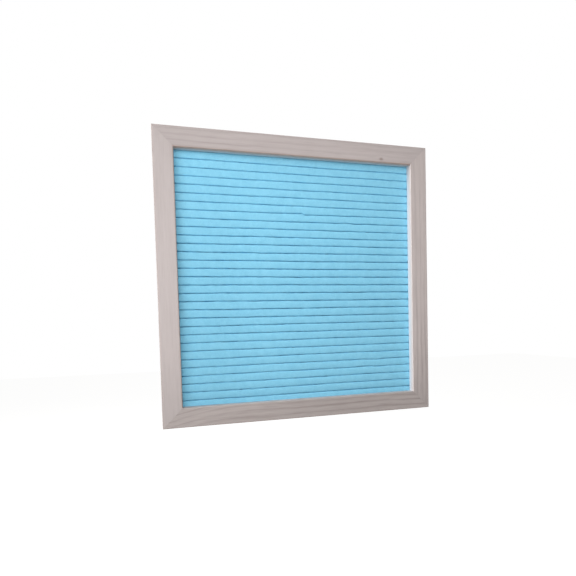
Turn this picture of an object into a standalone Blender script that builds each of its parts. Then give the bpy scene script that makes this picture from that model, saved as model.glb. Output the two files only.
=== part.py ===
"""Felt letter board for a wall: four mitred pine rails round a panel of pleated felt.

Metres, +Z up, the front facing -Y. The origin is where the board hangs: the roof of the hanger's middle
notch, on the plane of the frame's back. Every piece is drawn round the board's centre, and an empty at
that centre carries them all below the origin.
"""

import math

import bmesh
import bpy
from mathutils import Matrix, Vector

MM = 0.001

# Whole board
BOARD_WIDTH = 254.0 * MM
BOARD_HEIGHT = 254.0 * MM
FRAME_DEPTH = 18.0 * MM

# Clearances between pieces
FIT_GAP = 0.3 * MM
MITRE_GAP = 0.2 * MM
PANEL_PLAY = 0.5 * MM
CUT_PAST = 2.0 * MM

# Rails
RAIL_FACE = 17.0 * MM
LIP_DEPTH = 7.2 * MM
RABBET_WIDTH = 6.0 * MM
ARRIS_RADIUS = 0.6 * MM
ARRIS_STEPS = 2

# Felt: slits where it folds back into the core, and crowned bands between them
FELT_THICKNESS = 1.0 * MM
GROOVE_PITCH = 7.2 * MM
FIRST_GROOVE = 4.9 * MM
LAST_BAND_LEAST = 2.4 * MM
SLIT_WIDTH = 0.6 * MM
SLIT_DEPTH = 3.6 * MM
SHOULDER_RADIUS = 1.2 * MM
BAND_CROWN = 0.25 * MM
BAND_STEPS = 3
SHOULDER_STEPS = 3
FOLD_STEPS = 4

# Boards behind the felt
CORE_WEB = 1.2 * MM
BACKING_THICKNESS = 2.0 * MM

# Framer's points
POINT_WIDTH = 6.0 * MM
POINT_THICKNESS = 0.6 * MM
POINT_EXPOSED = 6.0 * MM
POINT_EMBEDDED = 4.5 * MM
POINT_TIP = 3.0 * MM
POINT_OFF_MIDDLE = 70.0 * MM

# V-nails across the mitres
V_NAIL_INSET = 5.5 * MM
V_NAIL_SPAN = 7.0 * MM
V_NAIL_RISE = 2.4 * MM
V_NAIL_THICKNESS = 0.5 * MM
V_NAIL_HEIGHT = 7.0 * MM

# Sawtooth hanger
HANGER_LENGTH = 45.0 * MM
HANGER_HEIGHT = 8.5 * MM
HANGER_THICKNESS = 0.8 * MM
HANGER_FROM_TOP = 1.2 * MM
HANGER_TAB = 8.0 * MM
HANGER_RAMP = 2.5 * MM
HANGER_RISE = 1.5 * MM
TOOTH_PITCH = 3.2 * MM
TOOTH_DEPTH = 1.5 * MM

# Hanger nails
NAIL_RADIUS = 0.7 * MM
NAIL_LENGTH = 11.0 * MM
NAIL_TIP = 1.6 * MM
NAIL_HEAD_RADIUS = 1.7 * MM
NAIL_HEAD_THICKNESS = 0.7 * MM
NAIL_HEAD_CHAMFER = 0.3 * MM
ROUND_STEPS = 16
SCREW_WELD = 0.02 * MM

# Sizes that follow from the ones above
OPENING_INSET = RAIL_FACE - RABBET_WIDTH
PANEL_WIDTH = BOARD_WIDTH - 2 * (OPENING_INSET + PANEL_PLAY)
PANEL_HEIGHT = BOARD_HEIGHT - 2 * (OPENING_INSET + PANEL_PLAY)
FELT_FACE_Y = -FRAME_DEPTH + LIP_DEPTH + FIT_GAP
CORE_FRONT_Y = FELT_FACE_Y + BAND_CROWN + FELT_THICKNESS + FIT_GAP
KERF_BOTTOM_Y = FELT_FACE_Y + BAND_CROWN + SLIT_DEPTH + FELT_THICKNESS + FIT_GAP
CORE_BACK_Y = KERF_BOTTOM_Y + CORE_WEB
KERF_WIDTH = SLIT_WIDTH + 2 * (FELT_THICKNESS + FIT_GAP)
BACKING_FRONT_Y = CORE_BACK_Y + FIT_GAP
BACKING_BACK_Y = BACKING_FRONT_Y + BACKING_THICKNESS
POINT_Y = BACKING_BACK_Y + FIT_GAP + POINT_THICKNESS / 2
HANGER_BOTTOM_Z = BOARD_HEIGHT / 2 - HANGER_FROM_TOP - HANGER_HEIGHT
HANG_Z = HANGER_BOTTOM_Z + TOOTH_DEPTH
TAB_Y = FIT_GAP + HANGER_THICKNESS / 2
NAIL_HEAD_Y = TAB_Y + HANGER_THICKNESS / 2 + FIT_GAP
NAIL_X = HANGER_LENGTH / 2 - HANGER_TAB / 2

# Colour, roughness and metallic value of each material
PINE = ((0.49, 0.42, 0.40), 0.62, 0.0)
BLUE_FELT = ((0.24, 0.61, 0.80), 0.95, 0.0)
FIBREBOARD = ((0.36, 0.27, 0.18), 0.80, 0.0)
HARDBOARD = ((0.22, 0.13, 0.07), 0.55, 0.0)
ZINC_STEEL = ((0.60, 0.61, 0.63), 0.35, 1.0)


def clear_scene():
    for old in list(bpy.data.objects):
        bpy.data.objects.remove(old)


def new_collection(name, parent):
    collection = bpy.data.collections.new(name)
    parent.children.link(collection)
    return collection


def principled(name, finish):
    """A material of its own for one piece."""
    colour, roughness, metallic = finish
    material = bpy.data.materials.new(name)
    material.use_nodes = True
    shader = material.node_tree.nodes["Principled BSDF"]
    shader.inputs["Base Color"].default_value = (*colour, 1.0)
    shader.inputs["Roughness"].default_value = roughness
    shader.inputs["Metallic"].default_value = metallic
    material.diffuse_color = (*colour, 1.0)
    return material


class Bench:
    """Where the pieces are put: the board's collection, the cutters' collections and the parent empty."""

    def __init__(self):
        root = bpy.context.scene.collection
        self.board = new_collection("felt_letter_board", root)
        self.cutters = new_collection("cutters", root)
        self.joinery = new_collection("joinery_cutters", self.cutters)
        self.centre = bpy.data.objects.new("board_centre", None)
        self.centre.location = (0.0, 0.0, -HANG_Z)
        self.board.objects.link(self.centre)

    def piece(self, name, data, finish, place=None):
        """A visible piece, placed by a matrix from the board's centre."""
        piece = bpy.data.objects.new(name, data)
        self.board.objects.link(piece)
        piece.parent = self.centre
        piece.matrix_local = place or Matrix.Identity(4)
        # Copies share their mesh, so the finish is held by the object and not by the mesh.
        if not data.materials:
            data.materials.append(None)
        piece.material_slots[0].link = "OBJECT"
        piece.material_slots[0].material = principled(name, finish)
        return piece

    def cutter(self, name, data, place=None, collection=None):
        """A tool that only cuts other pieces."""
        cutter = bpy.data.objects.new(name, data)
        (collection or self.cutters).objects.link(cutter)
        cutter.parent = self.centre
        cutter.matrix_local = place or Matrix.Identity(4)
        cutter.hide_render = True
        cutter.display_type = "WIRE"
        return cutter


def mesh_from(name, bm):
    mesh = bpy.data.meshes.new(name)
    bm.to_mesh(mesh)
    bm.free()
    return mesh


def box_mesh(name, low, high):
    """A box between two opposite corners."""
    low, high = Vector(low), Vector(high)
    bm = bmesh.new()
    bmesh.ops.create_cube(bm, size=1.0)
    bmesh.ops.scale(bm, vec=high - low, verts=bm.verts)
    bmesh.ops.translate(bm, vec=(low + high) / 2, verts=bm.verts)
    return mesh_from(name, bm)


def strip_mesh(name, line, run):
    """An open surface: the line swept along run, which lies centred on the line."""
    bm = bmesh.new()
    verts = [bm.verts.new(Vector(point) - Vector(run) / 2) for point in line]
    edges = [bm.edges.new(pair) for pair in zip(verts, verts[1:])]
    swept = bmesh.ops.extrude_edge_only(bm, edges=edges)["geom"]
    bmesh.ops.translate(bm, vec=run, verts=[v for v in swept if isinstance(v, bmesh.types.BMVert)])
    return mesh_from(name, bm)


def outline_curve(name, points, thickness):
    """A flat plate with this outline in its own XY plane."""
    curve = bpy.data.curves.new(name, "CURVE")
    curve.dimensions = "2D"
    curve.fill_mode = "BOTH"
    curve.extrude = thickness / 2
    spline = curve.splines.new("POLY")
    spline.points.add(len(points) - 1)
    for spot, (x, y) in zip(spline.points, points):
        spot.co = (x, y, 0.0, 1.0)
    spline.use_cyclic_u = True
    return curve


def thicken(piece, thickness):
    """Gives an open surface its thickness, half on each side."""
    solidify = piece.modifiers.new("thickness", "SOLIDIFY")
    solidify.thickness = thickness
    solidify.offset = 0.0
    solidify.use_even_offset = True


def cut(piece, cutter):
    boolean = piece.modifiers.new("cut_" + cutter.name, "BOOLEAN")
    boolean.operation = "DIFFERENCE"
    boolean.solver = "EXACT"
    if isinstance(cutter, bpy.types.Collection):
        boolean.operand_type = "COLLECTION"
        boolean.collection = cutter
    else:
        boolean.object = cutter


def turn_y(degrees):
    return Matrix.Rotation(math.radians(degrees), 4, "Y")


def arc(centre, radius, start, end, steps):
    """Points round centre in the YZ plane, angles in degrees from +Y towards +Z, without the first."""
    points = []
    for step in range(1, steps + 1):
        angle = math.radians(start + (end - start) * step / steps)
        y = centre[0] + radius * math.cos(angle)
        z = centre[1] + radius * math.sin(angle)
        points.append(Vector((0.0, y, z)))
    return points


def rail_mesh(name, length, reach):
    """A bar along X whose outer edge lies at +Z reach, sawn at 45 degrees through both outer corners."""
    bm = bmesh.new()
    bmesh.ops.create_cube(bm, size=1.0)
    bmesh.ops.scale(bm, vec=(length, FRAME_DEPTH, RAIL_FACE), verts=bm.verts)
    bmesh.ops.translate(bm, vec=(0.0, -FRAME_DEPTH / 2, reach - RAIL_FACE / 2), verts=bm.verts)
    for side in (-1, 1):
        away = Vector((side, 0.0, -1.0)).normalized()
        corner = Vector((side * length / 2, 0.0, reach))
        bmesh.ops.bisect_plane(
            bm,
            geom=list(bm.verts) + list(bm.edges) + list(bm.faces),
            plane_co=corner - away * MITRE_GAP / 2,
            plane_no=away,
            clear_outer=True,
        )
        bmesh.ops.holes_fill(bm, edges=bm.edges)
    arrises = [edge for edge in bm.edges if is_arris(edge, reach)]
    bmesh.ops.bevel(
        bm,
        geom=arrises,
        offset=ARRIS_RADIUS,
        segments=ARRIS_STEPS,
        profile=0.5,
        affect="EDGES",
    )
    bmesh.ops.recalc_face_normals(bm, faces=bm.faces)
    return mesh_from(name, bm)


def is_arris(edge, reach):
    """Whether an edge runs along the rail at its front, or at its back's outer side."""
    a, b = (vert.co for vert in edge.verts)
    along = abs(a.x - b.x) > RAIL_FACE
    front = min(a.y, b.y) < -FRAME_DEPTH / 2
    outer = min(a.z, b.z) > reach - RAIL_FACE / 2
    return along and (front or outer)


def rail_sides():
    """Name, length, distance from the centre to the outer edge and turn about Y of each rail."""
    return (
        ("top", BOARD_WIDTH, BOARD_HEIGHT / 2, 0),
        ("right", BOARD_HEIGHT, BOARD_WIDTH / 2, 90),
        ("bottom", BOARD_WIDTH, BOARD_HEIGHT / 2, 180),
        ("left", BOARD_HEIGHT, BOARD_WIDTH / 2, 270),
    )


def build_rails(bench):
    for side, length, reach, turn in rail_sides():
        rail = bench.piece(f"{side}_rail", rail_mesh(f"{side}_rail", length, reach), PINE, turn_y(turn))
        cut(rail, bench.joinery)


def cut_rabbet(bench):
    """The step in the rails' inner edges that takes the panel from behind."""
    across, up = BOARD_WIDTH / 2 - OPENING_INSET, BOARD_HEIGHT / 2 - OPENING_INSET
    low = (-across, -FRAME_DEPTH + LIP_DEPTH, -up)
    mesh = box_mesh("rabbet_cutter", low, (across, CUT_PAST, up))
    bench.cutter("rabbet_cutter", mesh, collection=bench.joinery)


def groove_heights():
    """The height of each slit's middle above the board's centre, from the top down."""
    room = PANEL_HEIGHT - FIRST_GROOVE - LAST_BAND_LEAST
    count = int(room / GROOVE_PITCH) + 1
    top = PANEL_HEIGHT / 2 - FIRST_GROOVE
    return [top - index * GROOVE_PITCH for index in range(count)]


def band_line(top, bottom):
    """The middle of the felt down one band, which stands proud by the crown halfway."""
    face = FELT_FACE_Y + FELT_THICKNESS / 2
    points = []
    for step in range(BAND_STEPS + 1):
        share = step / BAND_STEPS
        dip = BAND_CROWN * (2 * share - 1) ** 2
        points.append(Vector((0.0, face + dip, top + (bottom - top) * share)))
    return points


def fold_line(height):
    """The middle of the felt over one shoulder, round the bottom of a slit and out over the other."""
    wall = (SLIT_WIDTH + FELT_THICKNESS) / 2
    bend = SHOULDER_RADIUS - FELT_THICKNESS / 2
    shoulder_y = FELT_FACE_Y + BAND_CROWN + FELT_THICKNESS / 2 + bend
    bottom_y = FELT_FACE_Y + BAND_CROWN + SLIT_DEPTH - SLIT_WIDTH / 2
    upper = arc((shoulder_y, height + wall + bend), bend, 180, 270, SHOULDER_STEPS)
    floor = [Vector((0.0, bottom_y, height + wall))] + arc((bottom_y, height), wall, 90, -90, FOLD_STEPS)
    lower = [Vector((0.0, shoulder_y, height - wall))]
    lower += arc((shoulder_y, height - wall - bend), bend, 90, 180, SHOULDER_STEPS)
    return upper + floor + lower


def build_felt(bench):
    """One sheet down the whole panel, folded back into every kerf of the core."""
    reach = (SLIT_WIDTH + FELT_THICKNESS) / 2 + SHOULDER_RADIUS - FELT_THICKNESS / 2
    line = []
    top = PANEL_HEIGHT / 2
    for height in groove_heights():
        line += band_line(top, height + reach)
        line += fold_line(height)
        line.pop()
        top = height - reach
    line += band_line(top, -PANEL_HEIGHT / 2)
    mesh = strip_mesh("felt_sheet", line, (PANEL_WIDTH, 0.0, 0.0))
    thicken(bench.piece("felt_sheet", mesh, BLUE_FELT), FELT_THICKNESS)


def build_core(bench):
    """The board under the felt, with a kerf sawn across it behind each slit."""
    half_w, half_h = PANEL_WIDTH / 2, PANEL_HEIGHT / 2
    low, high = (-half_w, CORE_FRONT_Y, -half_h), (half_w, CORE_BACK_Y, half_h)
    core = bench.piece("grooved_core", box_mesh("grooved_core", low, high), FIBREBOARD)
    heights = groove_heights()
    saw = box_mesh(
        "kerf_cutter",
        (-half_w - CUT_PAST, CORE_FRONT_Y - CUT_PAST, -KERF_WIDTH / 2),
        (half_w + CUT_PAST, KERF_BOTTOM_Y, KERF_WIDTH / 2),
    )
    kerfs = bench.cutter("kerf_cutter", saw, Matrix.Translation((0.0, 0.0, heights[0])))
    array = kerfs.modifiers.new("every_groove", "ARRAY")
    array.count = len(heights)
    array.use_relative_offset = False
    array.use_constant_offset = True
    array.constant_offset_displace = (0.0, 0.0, -GROOVE_PITCH)
    cut(core, kerfs)


def build_backing(bench):
    half_w, half_h = PANEL_WIDTH / 2, PANEL_HEIGHT / 2
    low, high = (-half_w, BACKING_FRONT_Y, -half_h), (half_w, BACKING_BACK_Y, half_h)
    bench.piece("backing_board", box_mesh("backing_board", low, high), HARDBOARD)


def build_points(bench):
    """Two steel tabs a rail, each driven into the rabbet's wall and lying over the backing board."""
    half = POINT_WIDTH / 2
    outline = (
        (-half, -POINT_EXPOSED),
        (half, -POINT_EXPOSED),
        (half, POINT_EMBEDDED - POINT_TIP),
        (0.0, POINT_EMBEDDED),
        (-half, POINT_EMBEDDED - POINT_TIP),
    )
    plate = outline_curve("framers_point", outline, POINT_THICKNESS)
    slot = box_mesh(
        "point_slot_cutter",
        (-half - FIT_GAP, -POINT_THICKNESS / 2 - FIT_GAP, -CUT_PAST),
        (half + FIT_GAP, POINT_THICKNESS / 2 + FIT_GAP, POINT_EMBEDDED + FIT_GAP),
    )
    ends = {
        "top": ("left", "right"),
        "right": ("upper", "lower"),
        "bottom": ("right", "left"),
        "left": ("lower", "upper"),
    }
    flat = Matrix.Rotation(math.radians(90), 4, "X")
    for side, _, reach, turn in rail_sides():
        for end, along in zip(ends[side], (-POINT_OFF_MIDDLE, POINT_OFF_MIDDLE)):
            place = turn_y(turn) @ Matrix.Translation((along, POINT_Y, reach - OPENING_INSET))
            bench.piece(f"point_{side}_{end}", plate, ZINC_STEEL, place @ flat)
            bench.cutter(f"point_slot_{side}_{end}", slot, place, bench.joinery)


def v_line(span, rise):
    """A V in the XZ plane with its apex at +X."""
    return [(-rise / 2, 0.0, -span / 2), (rise / 2, 0.0, 0.0), (-rise / 2, 0.0, span / 2)]


def build_v_nails(bench):
    """One V of steel strip at each corner, pressed in from the back across the mitre."""
    middle = -V_NAIL_HEIGHT / 2
    nail = strip_mesh("v_nail", v_line(V_NAIL_SPAN, V_NAIL_RISE), (0.0, V_NAIL_HEIGHT, 0.0))
    # The pocket keeps the gap on every side of the nail and opens through the back of the rails.
    longer = 1 + 2 * FIT_GAP / V_NAIL_SPAN
    pocket_height = V_NAIL_HEIGHT + FIT_GAP + CUT_PAST
    pocket_line = v_line(V_NAIL_SPAN * longer, V_NAIL_RISE * longer)
    pocket = strip_mesh("v_nail_pocket", pocket_line, (0.0, pocket_height, 0.0))
    pocket_middle = CUT_PAST - pocket_height / 2
    corners = (("top_right", 1, 1), ("top_left", -1, 1), ("bottom_left", -1, -1), ("bottom_right", 1, -1))
    for index, (corner, right, up) in enumerate(corners):
        x = right * (BOARD_WIDTH / 2 - V_NAIL_INSET)
        z = up * (BOARD_HEIGHT / 2 - V_NAIL_INSET)
        turn = turn_y(-45 - 90 * index)
        piece = bench.piece(f"v_nail_{corner}", nail, ZINC_STEEL, Matrix.Translation((x, middle, z)) @ turn)
        thicken(piece, V_NAIL_THICKNESS)
        place = Matrix.Translation((x, pocket_middle, z)) @ turn
        cutter = bench.cutter(f"v_nail_pocket_{corner}", pocket, place, bench.joinery)
        thicken(cutter, V_NAIL_THICKNESS + 2 * FIT_GAP)


def rod_mesh(name, radius, low_y, high_y):
    """A cylinder along Y, for round holes."""
    bm = bmesh.new()
    bmesh.ops.create_cone(
        bm,
        cap_ends=True,
        segments=ROUND_STEPS,
        radius1=radius,
        radius2=radius,
        depth=high_y - low_y,
    )
    bmesh.ops.rotate(bm, matrix=Matrix.Rotation(math.radians(-90), 3, "X"), verts=bm.verts)
    bmesh.ops.translate(bm, vec=(0.0, (low_y + high_y) / 2, 0.0), verts=bm.verts)
    return mesh_from(name, bm)


def build_hanger(bench):
    """A strip on two flat tabs, its toothed middle standing off the rail for the wall's nail."""
    half = HANGER_LENGTH / 2
    ramp = half - HANGER_TAB
    raised = ramp - HANGER_RAMP
    raised_y = TAB_Y + HANGER_RISE
    right = [(raised, raised_y, 0.0), (ramp, TAB_Y, 0.0), (half, TAB_Y, 0.0)]
    left = [(-x, y, z) for x, y, z in reversed(right)]
    mesh = strip_mesh("sawtooth_hanger", left + right, (0.0, 0.0, HANGER_HEIGHT))
    middle_z = HANGER_BOTTOM_Z + HANGER_HEIGHT / 2
    hanger = bench.piece("sawtooth_hanger", mesh, ZINC_STEEL, Matrix.Translation((0.0, 0.0, middle_z)))
    thicken(hanger, HANGER_THICKNESS)
    cut(hanger, notch_cutter(bench, raised, raised_y))
    build_hanger_nails(bench, hanger, middle_z)


def notch_cutter(bench, raised, raised_y):
    """A row of bars turned on edge, whose upper halves cut the notches between the teeth."""
    beside = int((raised - TOOTH_DEPTH) / TOOTH_PITCH)
    side = TOOTH_DEPTH * math.sqrt(2)
    mesh = box_mesh(
        "notch_cutter",
        (-side / 2, -HANGER_THICKNESS, -side / 2),
        (side / 2, HANGER_THICKNESS, side / 2),
    )
    mesh.transform(turn_y(45))
    place = Matrix.Translation((-beside * TOOTH_PITCH, raised_y, HANGER_BOTTOM_Z))
    notches = bench.cutter("notch_cutter", mesh, place)
    array = notches.modifiers.new("every_notch", "ARRAY")
    array.count = 2 * beside + 1
    array.use_relative_offset = False
    array.use_constant_offset = True
    array.constant_offset_displace = (TOOTH_PITCH, 0.0, 0.0)
    return notches


def nail_mesh():
    """Half the nail's section, head to tip, for turning about Z."""
    profile = (
        (0.0, NAIL_HEAD_THICKNESS),
        (NAIL_HEAD_RADIUS - NAIL_HEAD_CHAMFER, NAIL_HEAD_THICKNESS),
        (NAIL_HEAD_RADIUS, NAIL_HEAD_THICKNESS - NAIL_HEAD_CHAMFER),
        (NAIL_HEAD_RADIUS, 0.0),
        (NAIL_RADIUS, 0.0),
        (NAIL_RADIUS, NAIL_TIP - NAIL_LENGTH),
        (0.0, -NAIL_LENGTH),
    )
    bm = bmesh.new()
    verts = [bm.verts.new((x, 0.0, z)) for x, z in profile]
    for pair in zip(verts, verts[1:]):
        bm.edges.new(pair)
    return mesh_from("hanger_nail", bm)


def build_hanger_nails(bench, hanger, middle_z):
    shank = nail_mesh()
    hole_end = NAIL_HEAD_Y - NAIL_LENGTH - FIT_GAP
    hole = rod_mesh("nail_hole_cutter", NAIL_RADIUS + FIT_GAP, hole_end, HANGER_THICKNESS + CUT_PAST)
    along_y = Matrix.Rotation(math.radians(-90), 4, "X")
    for side, x in (("left", -NAIL_X), ("right", NAIL_X)):
        place = Matrix.Translation((x, NAIL_HEAD_Y, middle_z))
        nail = bench.piece(f"hanger_nail_{side}", shank, ZINC_STEEL, place @ along_y)
        screw = nail.modifiers.new("turned", "SCREW")
        screw.steps = ROUND_STEPS
        screw.render_steps = ROUND_STEPS
        screw.use_merge_vertices = True
        screw.merge_threshold = SCREW_WELD
        screw.use_smooth_shade = True
        bore_place = Matrix.Translation((x, 0.0, middle_z))
        bore = bench.cutter(f"nail_hole_{side}", hole, bore_place, bench.joinery)
        cut(hanger, bore)


def main():
    clear_scene()
    bench = Bench()
    cut_rabbet(bench)
    build_rails(bench)
    build_felt(bench)
    build_core(bench)
    build_backing(bench)
    build_points(bench)
    build_v_nails(bench)
    build_hanger(bench)


main()
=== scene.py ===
"""Looks of a felt letter board: a mitred pine frame round one sheet of pleated blue felt.

Metres, +Z up, the front facing -Y. The origin is where the board hangs, on the plane of the frame's back.
The board's solids are the fixed frame. The rails, the felt, the back and the steel fittings are modelled
afresh in their places, and each finish has the grain, fibre or plating of the real material.
"""

from __future__ import annotations

import logging
import math
from collections.abc import Callable, Sequence
from dataclasses import dataclass, field
from enum import Enum
from typing import Any

import bmesh
import bpy
import numpy as np
from mathutils import Euler, Matrix, Vector


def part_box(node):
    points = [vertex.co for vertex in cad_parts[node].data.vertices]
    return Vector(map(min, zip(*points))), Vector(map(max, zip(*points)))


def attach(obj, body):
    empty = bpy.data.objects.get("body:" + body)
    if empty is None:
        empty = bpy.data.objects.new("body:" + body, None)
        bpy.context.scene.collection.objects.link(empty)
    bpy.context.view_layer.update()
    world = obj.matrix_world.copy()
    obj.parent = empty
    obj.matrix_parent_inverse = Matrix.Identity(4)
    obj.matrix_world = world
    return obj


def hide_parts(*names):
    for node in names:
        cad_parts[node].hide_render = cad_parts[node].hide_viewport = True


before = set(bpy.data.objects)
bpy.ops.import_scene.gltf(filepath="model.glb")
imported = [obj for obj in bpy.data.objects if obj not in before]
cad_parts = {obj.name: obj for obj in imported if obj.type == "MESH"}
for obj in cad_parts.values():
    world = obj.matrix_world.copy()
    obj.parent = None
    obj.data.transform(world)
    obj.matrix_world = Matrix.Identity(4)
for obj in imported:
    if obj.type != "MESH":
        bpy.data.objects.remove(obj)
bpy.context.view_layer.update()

MM = 0.001
BODY = "root"
LOG = logging.getLogger("letter_board")

# Sockets of the Mix node when it blends colours
MIX_A, MIX_B, MIX_RESULT = 6, 7, 2
# The wave texture runs through one ring in this length at a scale of 1
WAVE_PERIOD = 2 * math.pi / 20
# A face looks along an axis when its normal's part along that axis is more than this
ALONG = 0.9
# How close counts as touching a plane, on the rails and on small pieces
NEAR, HAIR = MM / 10, MM / 100
# How far a cutting tool stands out of the piece that it cuts
PROUD = 2 * MM
# How far the pattern of unevenness moves along X, Y and Z from one seed to the next
SEED_STEP = (0.37, 0.11, 0.23)
WHITE = (1.0, 1.0, 1.0, 1.0)
# Which way the board's sides face
FRONT, BACK, LEFT = (0.0, -1.0, 0.0), (0.0, 1.0, 0.0), (-1.0, 0.0, 0.0)

Socket = bpy.types.NodeSocket
Tree = bpy.types.NodeTree


class Element(Enum):
    """What edit mode selects."""

    EDGE = "EDGE"
    FACE = "FACE"


class Side(Enum):
    """A side of the board, with its turn about the board's centre from the top, in degrees."""

    TOP = 0
    RIGHT = 90
    BOTTOM = 180
    LEFT = 270

    @property
    def word(self) -> str:
        """The side's name as the pieces spell it."""
        return self.name.lower()

    def turn(self) -> Matrix:
        """The matrix that turns a piece of the top side to this side."""
        return Matrix.Rotation(math.radians(self.value), 4, "Y")


class Slot(Enum):
    """The material slots of the board's pieces that are modelled afresh."""

    PINE = "whitewashed_pine"
    FELT = "blue_felt"
    BACK = "hardboard"
    STEEL = "zinc_steel"


def linear(colour: str) -> tuple[float, float, float, float]:
    """Turns an sRGB hex colour to linear light.

    Args:
        colour: The colour as "#rrggbb".

    Returns:
        Red, green and blue in linear light, and full opacity.
    """
    parts = [int(colour[at : at + 2], 16) / 255 for at in (1, 3, 5)]
    red, green, blue = (c / 12.92 if c <= 0.04045 else ((c + 0.055) / 1.055) ** 2.4 for c in parts)
    return red, green, blue, 1.0


def set_inputs(tree: Tree, node: bpy.types.Node, inputs: dict[str | int, Any]) -> None:
    """Gives a node's inputs their values and links.

    Args:
        tree: The node tree.
        node: The node.
        inputs: A value or another node's output socket for each input, by name or number.
    """
    for name, value in inputs.items():
        if isinstance(value, Socket):
            tree.links.new(value, node.inputs[name])
        else:
            node.inputs[name].default_value = value


def add_node(
    tree: Tree,
    kind: str,
    settings: dict[str, Any] | None = None,
    inputs: dict[str | int, Any] | None = None,
    stops: Sequence[tuple[float, float]] = (),
) -> bpy.types.Node:
    """Adds a shader node with its settings and links.

    Args:
        tree: The node tree that takes it.
        kind: The node's type without "ShaderNode".
        settings: The node's own properties.
        inputs: A value or another node's output socket for each input, by name or number.
        stops: A ramp's places and grey levels, from dark to light along the ramp.

    Returns:
        The new node.
    """
    node = tree.nodes.new("ShaderNode" + kind)
    for name, value in (settings or {}).items():
        setattr(node, name, value)
    set_inputs(tree, node, inputs or {})
    for index, (place, level) in enumerate(stops):
        elements = node.color_ramp.elements
        element = elements[index] if index < 2 else elements.new(place)
        element.position = place
        element.color = (level, level, level, 1.0)
    return node


def new_material(name: str) -> tuple[bpy.types.Material, Tree, bpy.types.Node]:
    """A material with its node tree and its shader.

    Args:
        name: What the material is.

    Returns:
        The material, its tree and its Principled shader.
    """
    material = bpy.data.materials.new(name)
    material.use_nodes = True
    tree = material.node_tree
    return material, tree, tree.nodes["Principled BSDF"]


@dataclass(frozen=True)
class Marks:
    """Uneven marks that are drawn out along the grain.

    Attributes:
        along: The length of a mark.
        across: The width of a mark.
        detail: How much finer detail they have.
        low: The pattern's strength at which they begin to show.
        high: The pattern's strength at which they show most.
        least: How much shows below the first.
        most: How much shows above the second.
    """

    along: float
    across: float
    detail: float
    low: float = 0.0
    high: float = 1.0
    least: float = 0.0
    most: float = 1.0


@dataclass(frozen=True)
class Knot:
    """A small knot that the grain runs round.

    Attributes:
        along: Its place along the rail from the middle, in metres.
        up: Its height above the rail's inner edge.
        radius: The knot's own radius.
        reach: How far from it the grain bends.
        push: How far the grain is pushed aside.
        oval: How much distance counts along, into and across the rail.
        dark: How strongly its heart shows.
    """

    along: float
    up: float
    radius: float = 2.3 * MM
    reach: float = 8.0 * MM
    push: float = 0.45
    oval: tuple[float, float, float] = (0.65, 0.2, 1.0)
    dark: float = 0.85


@dataclass(frozen=True)
class Sweep:
    """Where the rings leave the rail's line and curve outwards towards its end.

    Attributes:
        start: Where the curve begins, from the rail's middle.
        bend: Its outward run for each metre of length, squared.
    """

    start: float
    bend: float


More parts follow.
